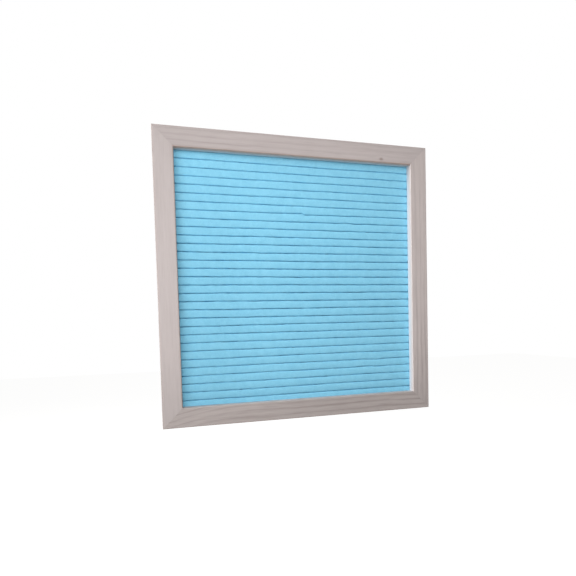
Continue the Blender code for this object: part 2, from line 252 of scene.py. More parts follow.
@dataclass(frozen=True)
class WhitewashedPine:
    """Pine, planed and sanded, then brushed with thinned white paint and wiped.

    The wash lies pale and matt over the wood, and the hard latewood of each ring shows through it as a
    thin darker streak along the rail. Fine fibres and brush marks run the same way, and the arrises are
    darker. The back of the inner face carries painted bluish light from the felt, and the tone along the
    rail is partly painted shade.

    Attributes:
        side: The rail's side, which turns the grain.
        wash: The washed wood between the streaks.
        latewood: The wash over latewood.
        ring_width: The width of a growth ring.
        pith: How far the tree's middle lies from the rail's, to the back and outwards.
        streak: How strongly the latewood shows at the rail's two ends, from 0 to 1.
        tone: How much of the wash's paleness is left at even places along the rail, partly as painted shade.
        waver: How far the rings wander sideways.
        sweep: Where the rings curve off, if they do.
        knot: A knot on the rail, if it has one.
        rubbed: The darker colour along the arrises.
        heart: The knot's wood.
        inside: The face towards the felt, in front.
        painted_felt_light: The painted bluish light that the felt throws onto the back of that face.
        span: How far from the rail's middle the two ends of streak and tone lie.
        ring: The latewood's strength across one ring, as places and levels.
        drift: How the rings wander.
        presence: How single rings come and go.
        fibre: The wood's fibres, 0.5 mm apart.
        brush: The brush's marks, 1.2 mm apart.
        worn: Thin places in the wash.
        rub: How unevenly the arrises are darker.
        rub_edge: Where the darkening begins and is full, in from the rail's corners.
        inside_edge: Where the inner face's colour begins and is full, up from that face.
        painted_felt_light_edge: Where that painted light begins and is full, in front of the lip's back.
    """

    side: Side
    wash: str
    latewood: str
    ring_width: float
    pith: tuple[float, float]
    streak: tuple[float, float]
    tone: tuple[float, ...]
    waver: float
    sweep: Sweep | None = None
    knot: Knot | None = None
    rubbed: str = "#8F7F78"
    heart: str = "#8A7C76"
    inside: str = "#AEA4A1"
    painted_felt_light: str = "#B2B5B8"
    span: float = 120 * MM
    ring: tuple[tuple[float, float], ...] = (
        (0.0, 0.2),
        (0.3, 0.0),
        (0.55, 0.1),
        (0.82, 1.0),
        (0.93, 0.9),
        (1.0, 0.2),
    )
    drift: Marks = Marks(70 * MM, 20 * MM, 3.0)
    presence: Marks = Marks(60 * MM, 4 * MM, 2.0, low=0.3, high=0.65, least=0.35)
    fibre: Marks = Marks(14 * MM, 0.5 * MM, 4.0, low=0.45, high=0.75, most=0.30)
    brush: Marks = Marks(60 * MM, 1.2 * MM, 2.0, low=0.40, high=0.70, most=0.18)
    worn: Marks = Marks(45 * MM, 9 * MM, 2.0, low=0.40, high=0.70, most=0.10)
    rub: Marks = Marks(14 * MM, 3 * MM, 3.0, least=0.2, most=0.75)
    rub_edge: tuple[float, float] = (1.2 * MM, 0.15 * MM)
    inside_edge: tuple[float, float] = (0.8 * MM, 0.1 * MM)
    painted_felt_light_edge: tuple[float, float] = (5.0 * MM, 0.5 * MM)

    def rail_places(self, tree: Tree, plan: BoardPlan) -> Socket:
        """Places on the rail from its middle, with X along it and Z outwards.

        Args:
            tree: The node tree.
            plan: The board's sizes.

        Returns:
            The places.
        """
        outward = Vector((0.0, -plan.depth / 2, plan.reach(self.side) - plan.rail_face / 2))
        turned = add_node(
            tree,
            "Mapping",
            {"vector_type": "TEXTURE"},
            {
                "Vector": add_node(tree, "TexCoord").outputs["Object"],
                "Location": plan.centre + self.side.turn() @ outward,
                "Rotation": (0.0, math.radians(self.side.value), 0.0),
            },
        )
        return turned.outputs[0]

    def pattern(self, tree: Tree, place: Socket, marks: Marks) -> bpy.types.Node:
        """An uneven pattern that is drawn out along the grain.

        Args:
            tree: The node tree.
            place: The places on the rail.
            marks: The size of its marks.

        Returns:
            The pattern's node.
        """
        scale = (1 / marks.along, 1 / marks.across, 1 / marks.across)
        drawn_out = add_node(tree, "Mapping", None, {"Vector": place, "Scale": scale})
        return add_node(
            tree, "TexNoise", None, {"Vector": drawn_out.outputs[0], "Scale": 1.0, "Detail": marks.detail}
        )

    def shown(self, tree: Tree, strength: Socket, marks: Marks) -> Socket:
        """How much shows of a pattern's marks.

        Args:
            tree: The node tree.
            strength: The pattern's strength.
            marks: How much shows at which strength.

        Returns:
            The share that shows.
        """
        limits = {"From Min": marks.low, "From Max": marks.high, "To Min": marks.least, "To Max": marks.most}
        return add_node(tree, "MapRange", None, {"Value": strength, **limits}).outputs[0]

    def swept(self, tree: Tree, place: Socket) -> Socket:
        """The rail's places drawn inwards beyond the sweep's start, so that the rings curve out there.

        Args:
            tree: The node tree.
            place: The places on the rail.

        Returns:
            The places to draw the grain at.
        """
        run = add_node(tree, "SeparateXYZ", None, {0: place}).outputs["X"]
        for operation, value in (
            ("SUBTRACT", self.sweep.start),
            ("MAXIMUM", 0.0),
            ("POWER", 2.0),
            ("MULTIPLY", self.sweep.bend),
        ):
            run = add_node(tree, "Math", {"operation": operation}, {0: run, 1: value}).outputs[0]
        inward = add_node(tree, "CombineXYZ", None, {"Z": run})
        moved = add_node(tree, "VectorMath", {"operation": "SUBTRACT"}, {0: place, 1: inward.outputs[0]})
        return moved.outputs[0]

    def bent_round_knot(self, tree: Tree, place: Socket, plan: BoardPlan) -> tuple[Socket, Socket]:
        """The rail's places drawn towards the knot, so that the rings pass round it.

        Args:
            tree: The node tree.
            place: The places on the rail.
            plan: The board's sizes.

        Returns:
            The bent places, and how near each is to the knot's heart, from 0 to 1.
        """
        knot = self.knot
        middle = Vector((knot.along, -plan.depth / 2, knot.up - plan.rail_face / 2))
        away = add_node(tree, "VectorMath", {"operation": "SUBTRACT"}, {0: place, 1: middle}).outputs[0]
        oval = add_node(tree, "VectorMath", {"operation": "MULTIPLY"}, {0: away, 1: knot.oval})
        length = add_node(tree, "VectorMath", {"operation": "LENGTH"}, {0: oval.outputs[0]})
        near, heart = (
            add_node(
                tree,
                "MapRange",
                {"interpolation_type": "SMOOTHERSTEP"},
                {"Value": length.outputs["Value"], "From Min": reach, "From Max": 0.0, "To Max": most},
            ).outputs[0]
            for reach, most in ((knot.reach, knot.push), (knot.radius, knot.dark))
        )
        drawn = add_node(tree, "VectorMath", {"operation": "SCALE"}, {0: away, "Scale": near})
        bent = add_node(tree, "VectorMath", {"operation": "SUBTRACT"}, {0: place, 1: drawn.outputs[0]})
        return bent.outputs[0], heart

    def latewood_streaks(self, tree: Tree, place: Socket) -> Socket:
        """How strongly latewood shows: growth rings are wide cylinders round the pith that wander a little.

        Args:
            tree: The node tree.
            place: The places on the rail, bent where the grain bends.

        Returns:
            The streaks' strength.
        """
        shift = add_node(
            tree,
            "VectorMath",
            {"operation": "MULTIPLY_ADD"},
            {
                0: self.pattern(tree, place, self.drift).outputs["Color"],
                1: (0.0, self.waver * 2, self.waver * 2),
                2: (0.0, -self.waver - self.pith[0], -self.waver - self.pith[1]),
            },
        )
        from_pith = add_node(
            tree, "VectorMath", {"operation": "ADD"}, {0: place, 1: shift.outputs[0]}
        ).outputs[0]
        rings = add_node(
            tree,
            "TexWave",
            {"wave_type": "RINGS", "rings_direction": "X", "wave_profile": "SAW"},
            {"Vector": from_pith, "Scale": WAVE_PERIOD / self.ring_width},
        )
        strength = add_node(
            tree, "ValToRGB", None, {"Fac": rings.outputs["Fac"]}, self.ring
        ).outputs["Color"]
        # Some rings show more than others, and each comes and goes along the rail.
        presence = self.pattern(tree, from_pith, self.presence).outputs["Fac"]
        along = add_node(tree, "SeparateXYZ", None, {0: place}).outputs["X"]
        reach = {"From Min": -self.span, "From Max": self.span}
        ends = {"To Min": self.streak[0], "To Max": self.streak[1]}
        by_end = add_node(tree, "MapRange", None, {"Value": along, **reach, **ends}).outputs[0]
        for share in (self.shown(tree, presence, self.presence), by_end):
            strength = add_node(tree, "Math", {"operation": "MULTIPLY"}, {0: strength, 1: share}).outputs[0]
        return strength

    def toned(self, tree: Tree, place: Socket, wood: Socket) -> Socket:
        """The wood's colour darkened on some stretches of the rail, partly by thinner wash and partly as
        painted shade.

        Args:
            tree: The node tree.
            place: The places on the rail.
            wood: The wood's colour so far.

        Returns:
            The toned colour.
        """
        along = add_node(tree, "SeparateXYZ", None, {0: place}).outputs["X"]
        share = add_node(
            tree, "MapRange", None, {"Value": along, "From Min": -self.span, "From Max": self.span}
        ).outputs[0]
        stops = [(index / (len(self.tone) - 1), level) for index, level in enumerate(self.tone)]
        left = add_node(tree, "ValToRGB", None, {"Fac": share}, stops).outputs["Color"]
        return add_node(
            tree, "Mix", {"data_type": "RGBA", "blend_type": "MULTIPLY"}, {0: 1.0, MIX_A: wood, MIX_B: left}
        ).outputs[MIX_RESULT]

    def rubbed_arrises(self, tree: Tree, place: Socket, plan: BoardPlan) -> Socket:
        """How much darker the arrises are: only close to the corners of the rail's section, and unevenly.

        Args:
            tree: The node tree.
            place: The places on the rail.
            plan: The board's sizes.

        Returns:
            How much darker, from 0 to 1.
        """
        parts = add_node(tree, "SeparateXYZ", None, {0: place})
        begins, full = self.rub_edge
        edges = []
        for axis, half in (("Y", plan.depth / 2), ("Z", plan.rail_face / 2)):
            outward = add_node(tree, "Math", {"operation": "ABSOLUTE"}, {0: parts.outputs[axis]})
            edge = add_node(
                tree,
                "MapRange",
                {"interpolation_type": "SMOOTHSTEP"},
                {"Value": outward.outputs[0], "From Min": half - begins, "From Max": half - full},
            )
            edges.append(edge.outputs[0])
        uneven = self.shown(tree, self.pattern(tree, place, self.rub).outputs["Fac"], self.rub)
        rubbed = edges[0]
        for share in (edges[1], uneven):
            rubbed = add_node(tree, "Math", {"operation": "MULTIPLY"}, {0: rubbed, 1: share}).outputs[0]
        return rubbed

    def inner_face(self, tree: Tree, place: Socket, wood: Socket, plan: BoardPlan) -> Socket:
        """The wood with the rail's inner face: its own colour in front, and painted bluish felt light at its
        back.

        Args:
            tree: The node tree.
            place: The places on the rail.
            wood: The wood's colour so far.
            plan: The board's sizes.

        Returns:
            The colour with the inner face's own.
        """
        parts = add_node(tree, "SeparateXYZ", None, {0: place})
        inner, lip_back = -plan.rail_face / 2, plan.lip - plan.depth / 2
        face, painted_felt_light = (
            add_node(
                tree,
                "MapRange",
                {"interpolation_type": "SMOOTHSTEP"},
                {"Value": parts.outputs[axis], "From Min": begins, "From Max": full},
            ).outputs[0]
            for axis, (begins, full) in (
                ("Z", [inner + edge for edge in self.inside_edge]),
                ("Y", [lip_back - edge for edge in self.painted_felt_light_edge]),
            )
        )
        # Painted light: the back of the inner face takes the felt's bounced bluish light as colour.
        own = add_node(
            tree,
            "Mix",
            {"data_type": "RGBA"},
            {0: painted_felt_light, MIX_A: linear(self.inside), MIX_B: linear(self.painted_felt_light)},
        ).outputs[MIX_RESULT]
        return add_node(
            tree, "Mix", {"data_type": "RGBA"}, {0: face, MIX_A: wood, MIX_B: own}
        ).outputs[MIX_RESULT]

    def material(self, plan: BoardPlan) -> bpy.types.Material:
        """Builds the finish for one rail.

        Args:
            plan: The board's sizes, which place the grain on the rail.

        Returns:
            The material.
        """
        material, tree, shader = new_material(f"whitewashed_pine_brushed_{self.side.word}")
        rail = self.rail_places(tree, plan)
        grain = self.swept(tree, rail) if self.sweep else rail
        heart = None
        if self.knot:
            grain, heart = self.bent_round_knot(tree, grain, plan)
        streaks = self.latewood_streaks(tree, grain)
        fibres, brushed, worn = (
            self.pattern(tree, place, marks).outputs["Fac"]
            for place, marks in ((grain, self.fibre), (rail, self.brush), (rail, self.worn))
        )
        shade = streaks
        for strength, marks in ((fibres, self.fibre), (brushed, self.brush), (worn, self.worn)):
            shown = self.shown(tree, strength, marks)
            shade = add_node(
                tree, "Math", {"operation": "ADD", "use_clamp": True}, {0: shade, 1: shown}
            ).outputs[0]
        wood = add_node(
            tree,
            "Mix",
            {"data_type": "RGBA"},
            {0: shade, MIX_A: linear(self.wash), MIX_B: linear(self.latewood)},
        ).outputs[MIX_RESULT]
        # The tone along the rail is partly painted shade.
        wood = self.toned(tree, rail, wood)
        # The arrises are coloured darker, unevenly along them.
        arris_share = self.rubbed_arrises(tree, rail, plan)
        wood = add_node(
            tree, "Mix", {"data_type": "RGBA"}, {0: arris_share, MIX_A: wood, MIX_B: linear(self.rubbed)}
        ).outputs[MIX_RESULT]
        wood = self.inner_face(tree, rail, wood, plan)
        if heart:
            wood = add_node(
                tree, "Mix", {"data_type": "RGBA"}, {0: heart, MIX_A: wood, MIX_B: linear(self.heart)}
            ).outputs[MIX_RESULT]

        # The soft wood was sanded lower than the streaks, and fibres stand up through the wash.
        relief = add_node(tree, "Math", {"operation": "MULTIPLY_ADD"}, {0: fibres, 1: 0.7, 2: streaks})
        bump = add_node(
            tree, "Bump", None, {"Height": relief.outputs[0], "Distance": 0.06 * MM, "Strength": 1.0}
        )
        rough = add_node(tree, "MapRange", None, {"Value": fibres, "To Min": 0.55, "To Max": 0.75})
        own = {"Base Color": wood, "Roughness": rough.outputs[0], "Normal": bump.outputs[0]}
        set_inputs(tree, shader, {**own, "Specular IOR Level": 0.3})
        return material


@dataclass(frozen=True)
class NeedledFelt:
    """Wool felt, needled and pressed: matt, cloudy in tone, with a short pale nap that catches the light.

    Attributes:
        dye: The felt's colour.
        thin: The tone where the fibres lie thinner.
        nap: The loose fibres on top.
        sheen: The colour of the nap against the light.
        cloud: The size of a cloudy patch.
        tuft: The size of a matted tuft.
        fibre: The width of a fibre, drawn four times as coarse as wool so that it shows.
        relief: How high the tufts stand.
    """

    dye: str = "#8BD0EC"
    thin: str = "#81C7E5"
    nap: str = "#D8F0FA"
    sheen: str = "#C9ECFA"
    cloud: float = 6.0 * MM
    tuft: float = 1.6 * MM
    fibre: float = 0.12 * MM
    relief: float = 0.09 * MM

    def material(self) -> bpy.types.Material:
        """Builds the finish.

        Returns:
            The material.
        """
        material, tree, shader = new_material("wool_felt_needled")
        place = add_node(tree, "TexCoord").outputs["Object"]
        clouds, tufts, fibres = (
            add_node(
                tree,
                "TexNoise",
                None,
                {"Vector": place, "Scale": 1 / size, "Detail": detail, "Distortion": twist},
            ).outputs["Fac"]
            for size, detail, twist in ((self.cloud, 4.0, 0.0), (self.tuft, 3.0, 1.2), (self.fibre, 2.0, 2.5))
        )
        tone, height = (
            add_node(tree, "Math", {"operation": "MULTIPLY_ADD"}, {0: tufts, 1: weight, 2: other}).outputs[0]
            for weight, other in ((1.4, clouds), (1.6, fibres))
        )
        colour = linear(self.thin)
        for value, low, high, most, over in (
            (tone, 0.9, 1.5, 1.0, self.dye),
            (fibres, 0.58, 0.8, 0.3, self.nap),
        ):
            share = add_node(
                tree, "MapRange", None, {"Value": value, "From Min": low, "From Max": high, "To Max": most}
            ).outputs[0]
            colour = add_node(
                tree, "Mix", {"data_type": "RGBA"}, {0: share, MIX_A: colour, MIX_B: linear(over)}
            ).outputs[MIX_RESULT]
        bump = add_node(tree, "Bump", None, {"Height": height, "Distance": self.relief, "Strength": 0.8})
        set_inputs(tree, shader, {"Base Color": colour, "Normal": bump.outputs[0], "Roughness": 0.95})
        nap = {"Sheen Weight": 0.12, "Sheen Roughness": 0.6, "Sheen Tint": linear(self.sheen)}
        set_inputs(tree, shader, {**nap, "Specular IOR Level": 0.1})
        return material


@dataclass(frozen=True)
class PressedBoard:
    """Board pressed from wood fibres: an even brown ground flecked with paler and darker fibres.

    Attributes:
        name: What the board is and how it was made.
        ground: Its colour.
        dark: Its darker fibres.
        pale: Its paler fibres.
        roughness: From 0.45 for a smooth hot-pressed face to 0.9 for a sawn one.
        fibre: The length of a fibre.
        relief: The depth of its surface.
        cloud: The size of a patch of darker pulp.
    """

    name: str
    ground: str
    dark: str
    pale: str
    roughness: float
    fibre: float
    relief: float
    cloud: float = 30 * MM

    def material(self) -> bpy.types.Material:
        """Builds the finish.

        Returns:
            The material.
        """
        material, tree, shader = new_material(self.name)
        place = add_node(tree, "TexCoord").outputs["Object"]
        clouds, flecks = (
            add_node(
                tree,
                "TexNoise",
                None,
                {"Vector": place, "Scale": 1 / size, "Detail": 5.0, "Distortion": twist},
            ).outputs["Fac"]
            for size, twist in ((self.cloud, 0.0), (self.fibre, 1.8))
        )
        dark, pale = (
            add_node(
                tree, "MapRange", None, {"Value": flecks, "From Min": low, "From Max": high, "To Max": most}
            ).outputs[0]
            for low, high, most in ((0.5, 0.34, 1.0), (0.56, 0.76, 0.7))
        )
        colour = linear(self.dark)
        for share, over in ((clouds, self.ground), (dark, self.dark), (pale, self.pale)):
            colour = add_node(
                tree, "Mix", {"data_type": "RGBA"}, {0: share, MIX_A: colour, MIX_B: linear(over)}
            ).outputs[MIX_RESULT]
        bump = add_node(tree, "Bump", None, {"Height": flecks, "Distance": self.relief, "Strength": 0.8})
        own = {"Base Color": colour, "Normal": bump.outputs[0], "Roughness": self.roughness}
        set_inputs(tree, shader, own)
        return material


@dataclass(frozen=True)
class ZincPlatedSteel:
    """Steel strip, rolled, stamped and zinc plated: a cool satin grey with faint rolling lines and clouds.

    Attributes:
        bright: The plating where it is clean.
        dull: The plating where it has begun to whiten.
        cloud: The size of a whitened patch.
        line: The distance between rolling lines.
        line_length: The length of a rolling line.
        relief: The depth of the rolling lines.
    """

    bright: str = "#C9CDD1"
    dull: str = "#A3A8AC"
    cloud: float = 4 * MM
    line: float = 0.25 * MM
    line_length: float = 6 * MM
    relief: float = 0.02 * MM

    def material(self) -> bpy.types.Material:
        """Builds the finish.

        Returns:
            The material.
        """
        material, tree, shader = new_material("zinc_plated_steel_rolled")
        place = add_node(tree, "TexCoord").outputs["Object"]
        clouds = add_node(tree, "TexNoise", None, {"Vector": place, "Scale": 1 / self.cloud, "Detail": 4.0})
        scale = (1 / self.line_length, 1 / self.line, 1 / self.line)
        drawn_out = add_node(tree, "Mapping", None, {"Vector": place, "Scale": scale})
        rolled = add_node(
            tree, "TexNoise", None, {"Vector": drawn_out.outputs[0], "Scale": 1.0, "Detail": 3.0}
        ).outputs["Fac"]
        plating = add_node(
            tree,
            "Mix",
            {"data_type": "RGBA"},
            {0: clouds.outputs["Fac"], MIX_A: linear(self.dull), MIX_B: linear(self.bright)},
        ).outputs[MIX_RESULT]
        rough = add_node(tree, "MapRange", None, {"Value": rolled, "To Min": 0.28, "To Max": 0.48})
        bump = add_node(tree, "Bump", None, {"Height": rolled, "Distance": self.relief, "Strength": 0.6})
        own = {"Base Color": plating, "Roughness": rough.outputs[0], "Normal": bump.outputs[0]}
        set_inputs(tree, shader, {**own, "Metallic": 1.0})
        return material


@dataclass(frozen=True)
class BoardPlan:
    """The board's sizes, read from its solids.

    Attributes:
        centre: The board's centre, on the plane of the frame's back.
        width: The frame's width.
        height: The frame's height.
        depth: The frame's depth.
        rail_face: The width of a rail's face.
        rabbet: How far the rabbet is cut into the rails' inner edges.
        lip: The thickness of the rails' front lip.
        panel: The lowest and highest corner of the backing board.
    """

    centre: Vector
    width: float
    height: float
    depth: float
    rail_face: float
    rabbet: float
    lip: float
    panel: tuple[Vector, Vector]

    @classmethod
    def read(cls, rabbet: float = 6.0 * MM, lip: float = 7.2 * MM) -> BoardPlan:
        """Reads the plan from the frame.

        Args:
            rabbet: The rabbet's width, which no solid's box shows.
            lip: The lip's thickness, which no solid's box shows.

        Returns:
            The plan.
        """
        top_low, top_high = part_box("top_rail")
        left_low, left_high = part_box("left_rail")
        return cls(
            centre=Vector((0.0, 0.0, (left_low.z + left_high.z) / 2)),
            width=top_high.x - top_low.x,
            height=left_high.z - left_low.z,
            depth=top_high.y - top_low.y,
            rail_face=top_high.z - top_low.z,
            rabbet=rabbet,
            lip=lip,
            panel=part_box("backing_board"),
        )

    def reach(self, side: Side) -> float:
        """The distance from the centre to a side's outer edge."""
        return (self.height if side in (Side.TOP, Side.BOTTOM) else self.width) / 2

    def length(self, side: Side) -> float:
        """The length of a side's rail along its outer edge."""
        return self.width if side in (Side.TOP, Side.BOTTOM) else self.height

    def place(self, side: Side) -> Matrix:
        """The matrix that takes a piece drawn for the top of a board at the origin to its side."""
        return Matrix.Translation(self.centre) @ side.turn()


# The length and height of each wave of an uneven line
Waves = tuple[tuple[float, float], ...]
# Picks a face by its centre and normal, or an edge by its middle and run
Pick = Callable[[Vector, Vector], bool]


class Blank:
    """A mesh piece on the bench: started as a primitive, shaped in edit mode, finished with modifiers."""

    def __init__(self, name: str) -> None:
        """Takes the object that was just added and names it.

        Args:
            name: The piece's name.
        """
        self.piece = bpy.context.object
        self.piece.name = name
        self.piece.data.name = name
        self.settle()

    @classmethod
    def block(cls, name: str, low: Sequence[float], high: Sequence[float]) -> Blank:
        """A block between two opposite corners.

        Args:
            name: The piece's name.
            low: Its lowest corner.
            high: Its highest corner.

        Returns:
            The block.
        """
        low, high = Vector(low), Vector(high)
        bpy.ops.object.select_all(action="DESELECT")
        bpy.ops.mesh.primitive_cube_add(size=1.0, location=(low + high) / 2, scale=high - low)
        return cls(name)

    @classmethod
    def rod(cls, name: str, radius: float, start: Sequence[float], end_y: float, sides: int = 32) -> Blank:
        """A cylinder along Y from a point to another depth.

        Args:
            name: The piece's name.
            radius: Its radius.
            start: The middle of one end.
            end_y: The other end's Y.
            sides: How many sides it has.

        Returns:
            The cylinder.
        """
        x, start_y, z = start
        bpy.ops.object.select_all(action="DESELECT")
        bpy.ops.mesh.primitive_cylinder_add(
            vertices=sides,
            radius=radius,
            depth=abs(end_y - start_y),
            location=(x, (start_y + end_y) / 2, z),
            rotation=(math.radians(90), 0.0, 0.0),
        )
        return cls(name)

    def hold(self) -> None:
        """Selects this piece alone and makes it active."""
        bpy.ops.object.select_all(action="DESELECT")
        self.piece.select_set(True)
        bpy.context.view_layer.objects.active = self.piece

    def settle(self) -> None:
        """Puts the piece's place, turn and scale into its mesh."""
        self.hold()
        bpy.ops.object.transform_apply(location=True, rotation=True, scale=True)

    def move(self, place: Matrix) -> Blank:
        """Moves or turns the piece, mesh and all.

        Args:
            place: The move.

        Returns:
            The piece.
        """
        self.piece.matrix_world = place @ self.piece.matrix_world
        self.settle()
        return self

    def copy(self, name: str, place: Matrix) -> Blank:
        """A copy with a mesh of its own at another place.

        Args:
            name: The copy's name.
            place: The move from this piece to the copy.

        Returns:
            The copy.
        """
        self.hold()
        bpy.ops.object.duplicate(linked=False)
        return Blank(name).move(place)

    def edit(self, element: Element) -> bmesh.types.BMesh:
        """Opens edit mode with nothing selected.

        Args:
            element: Whether edges or faces are picked.

        Returns:
            The mesh in edit mode.
        """
        self.hold()
        bpy.ops.object.mode_set(mode="EDIT")
        bpy.ops.mesh.select_mode(type=element.value)
        bpy.ops.mesh.select_all(action="DESELECT")
        return bmesh.from_edit_mesh(self.piece.data)

    def close(self) -> None:
        """Leaves edit mode."""
        bpy.ops.object.mode_set(mode="OBJECT")

    def pick_faces(self, test: Pick) -> None:
        """Opens edit mode and selects the faces whose centre and normal pass the test.

        Args:
            test: Picks the faces.
        """
        mesh = self.edit(Element.FACE)
        for face in mesh.faces:
            face.select_set(test(face.calc_center_median(), face.normal))
        bmesh.update_edit_mesh(self.piece.data)

    def pick_edges(self, test: Pick) -> None:
        """Opens edit mode and selects the edges whose middle and run pass the test.

        Args:
            test: Picks the edges.
        """
        mesh = self.edit(Element.EDGE)
        for edge in mesh.edges:
            start, end = (vert.co for vert in edge.verts)
            edge.select_set(test((start + end) / 2, end - start))
        bmesh.update_edit_mesh(self.piece.data)

    def extrude(self, test: Pick, move: Sequence[float], shrink: Sequence[float] | None = None) -> Blank:
        """Extrudes the picked faces and, if asked, shrinks their new end about its middle.

        Args:
            test: Picks the faces by their centre and normal.
            move: How far the new end moves.
            shrink: Its scale along X, Y and Z.

        Returns:
            The piece.
        """
        self.pick_faces(test)
        bpy.ops.mesh.extrude_region_move(TRANSFORM_OT_translate={"value": tuple(move)})
        if shrink:
            mesh = bmesh.from_edit_mesh(self.piece.data)
            chosen = [vert.co for vert in mesh.verts if vert.select]
            middle = sum(chosen, Vector()) / len(chosen)
            bpy.ops.transform.resize(value=tuple(shrink), center_override=tuple(middle))
        self.close()
        return self

    def inset(self, test: Pick, width: float) -> Blank:
        """Insets the picked faces.

        Args:
            test: Picks the faces.
            width: How far in the new edges lie.

        Returns:
            The piece.
        """
        self.pick_faces(test)
        bpy.ops.mesh.inset(thickness=width)
        self.close()
        return self

    def bevel(self, test: Pick, width: float, steps: int) -> Blank:
        """Rounds the picked edges.

        Args:
            test: Picks the edges.
            width: How far in the rounding begins.
            steps: Its steps.

        Returns:
            The piece.
        """
        self.pick_edges(test)
        bpy.ops.mesh.bevel(offset=width, segments=steps, profile=0.5, affect="EDGES")
        self.close()
        return self

    def divide(self, test: Pick, cuts: int) -> Blank:
        """Divides the picked edges, and the faces between them.

        Args:
            test: Picks the edges.
            cuts: The cuts in each.

        Returns:
            The piece.
        """
        self.pick_edges(test)
        bpy.ops.mesh.subdivide(number_cuts=cuts, quadcorner="INNERVERT")
        self.close()
        return self

    def saw(self, point: Sequence[float], normal: Sequence[float], off: bool) -> Blank:
        """Cuts the piece at a plane.

        Args:
            point: A point on the plane.
            normal: The plane's normal, which points to the waste.
            off: Whether the waste comes off and the cut is closed.

        Returns:
            The piece.
        """
        self.edit(Element.FACE)
        bpy.ops.mesh.select_all(action="SELECT")
        bpy.ops.mesh.bisect(
            plane_co=tuple(point), plane_no=tuple(normal), use_fill=off, clear_outer=off, threshold=1e-7
        )
        self.close()
        return self

    def modify(self, kind: str, **settings: Any) -> Blank:
        """Adds a modifier and applies it.

        Args:
            kind: The modifier's type.
            settings: Its properties.

        Returns:
            The piece.
        """
        self.hold()
        modifier = self.piece.modifiers.new(kind.lower(), kind)
        for name, value in settings.items():
            setattr(modifier, name, value)
        bpy.ops.object.modifier_apply(modifier=modifier.name)
        return self

    def cut_by(self, tools: Sequence[Blank]) -> Blank:
        """Cuts pockets or holes with other pieces, which stay.

        Args:
            tools: The cutting pieces.

        Returns:
            The piece.
        """
        for tool in tools:
            self.modify("BOOLEAN", object=tool.piece, operation="DIFFERENCE", solver="EXACT")
        return self

    def roughen(self, depth: float, run: Sequence[float], seed: int) -> Blank:
        """Lowers the surface unevenly, never past where it was.

        Args:
            depth: The greatest depth.
            run: The size of a hollow along X, Y and Z.
            seed: Which part of the pattern is used.

        Returns:
            The piece.
        """
        texture = bpy.data.textures.new("unevenness", "CLOUDS")
        texture.noise_scale = 1.0
        guide = bpy.data.objects.new("unevenness_guide", None)
        bpy.context.scene.collection.objects.link(guide)
        guide.location = tuple(seed * step for step in SEED_STEP)
        guide.scale = tuple(run)
        bpy.context.view_layer.update()
        self.modify(
            "DISPLACE",
            texture=texture,
            texture_coords="OBJECT",
            texture_coords_object=guide,
            direction="NORMAL",
            mid_level=1.0,
            strength=depth,
        )
        bpy.data.objects.remove(guide)
        bpy.data.textures.remove(texture)
        return self

    def smooth(self, degrees: float = 35.0) -> Blank:
        """Shades the piece smooth, apart from edges sharper than this.

        Args:
            degrees: The greatest angle that is smoothed.

        Returns:
            The piece.
        """
        self.hold()
        bpy.ops.object.shade_smooth_by_angle(angle=math.radians(degrees))
        return self

    def dress(self, material: bpy.types.Material, slot: Slot, *nodes: str) -> bpy.types.Object:
        """Gives the finished piece its material and its place on the board.

        Args:
            material: Its finish.
            slot: The board's material slot that the finish belongs to.
            nodes: The solids that it stands for.

        Returns:
            The piece's object.
        """
        self.piece.data.materials.clear()
        self.piece.data.materials.append(material)
        return seat(self.piece, slot, *nodes)

    def scrap(self) -> None:
        """Throws a tool away."""
        bpy.data.objects.remove(self.piece)


def seat(piece: bpy.types.Object, slot: Slot, *nodes: str) -> bpy.types.Object:
    """Lets a piece ride on the board and stand for its solids.

    Args:
        piece: The finished piece.
        slot: The board's material slot that its finish belongs to; not used.
        nodes: The solids that it stands for.

    Returns:
        The piece.
    """
    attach(piece, BODY)
    if nodes:
        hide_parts(*nodes)
    triangles = sum(len(face.vertices) - 2 for face in piece.data.polygons)
    LOG.info("%s: %d triangles", piece.name, triangles)
    return piece


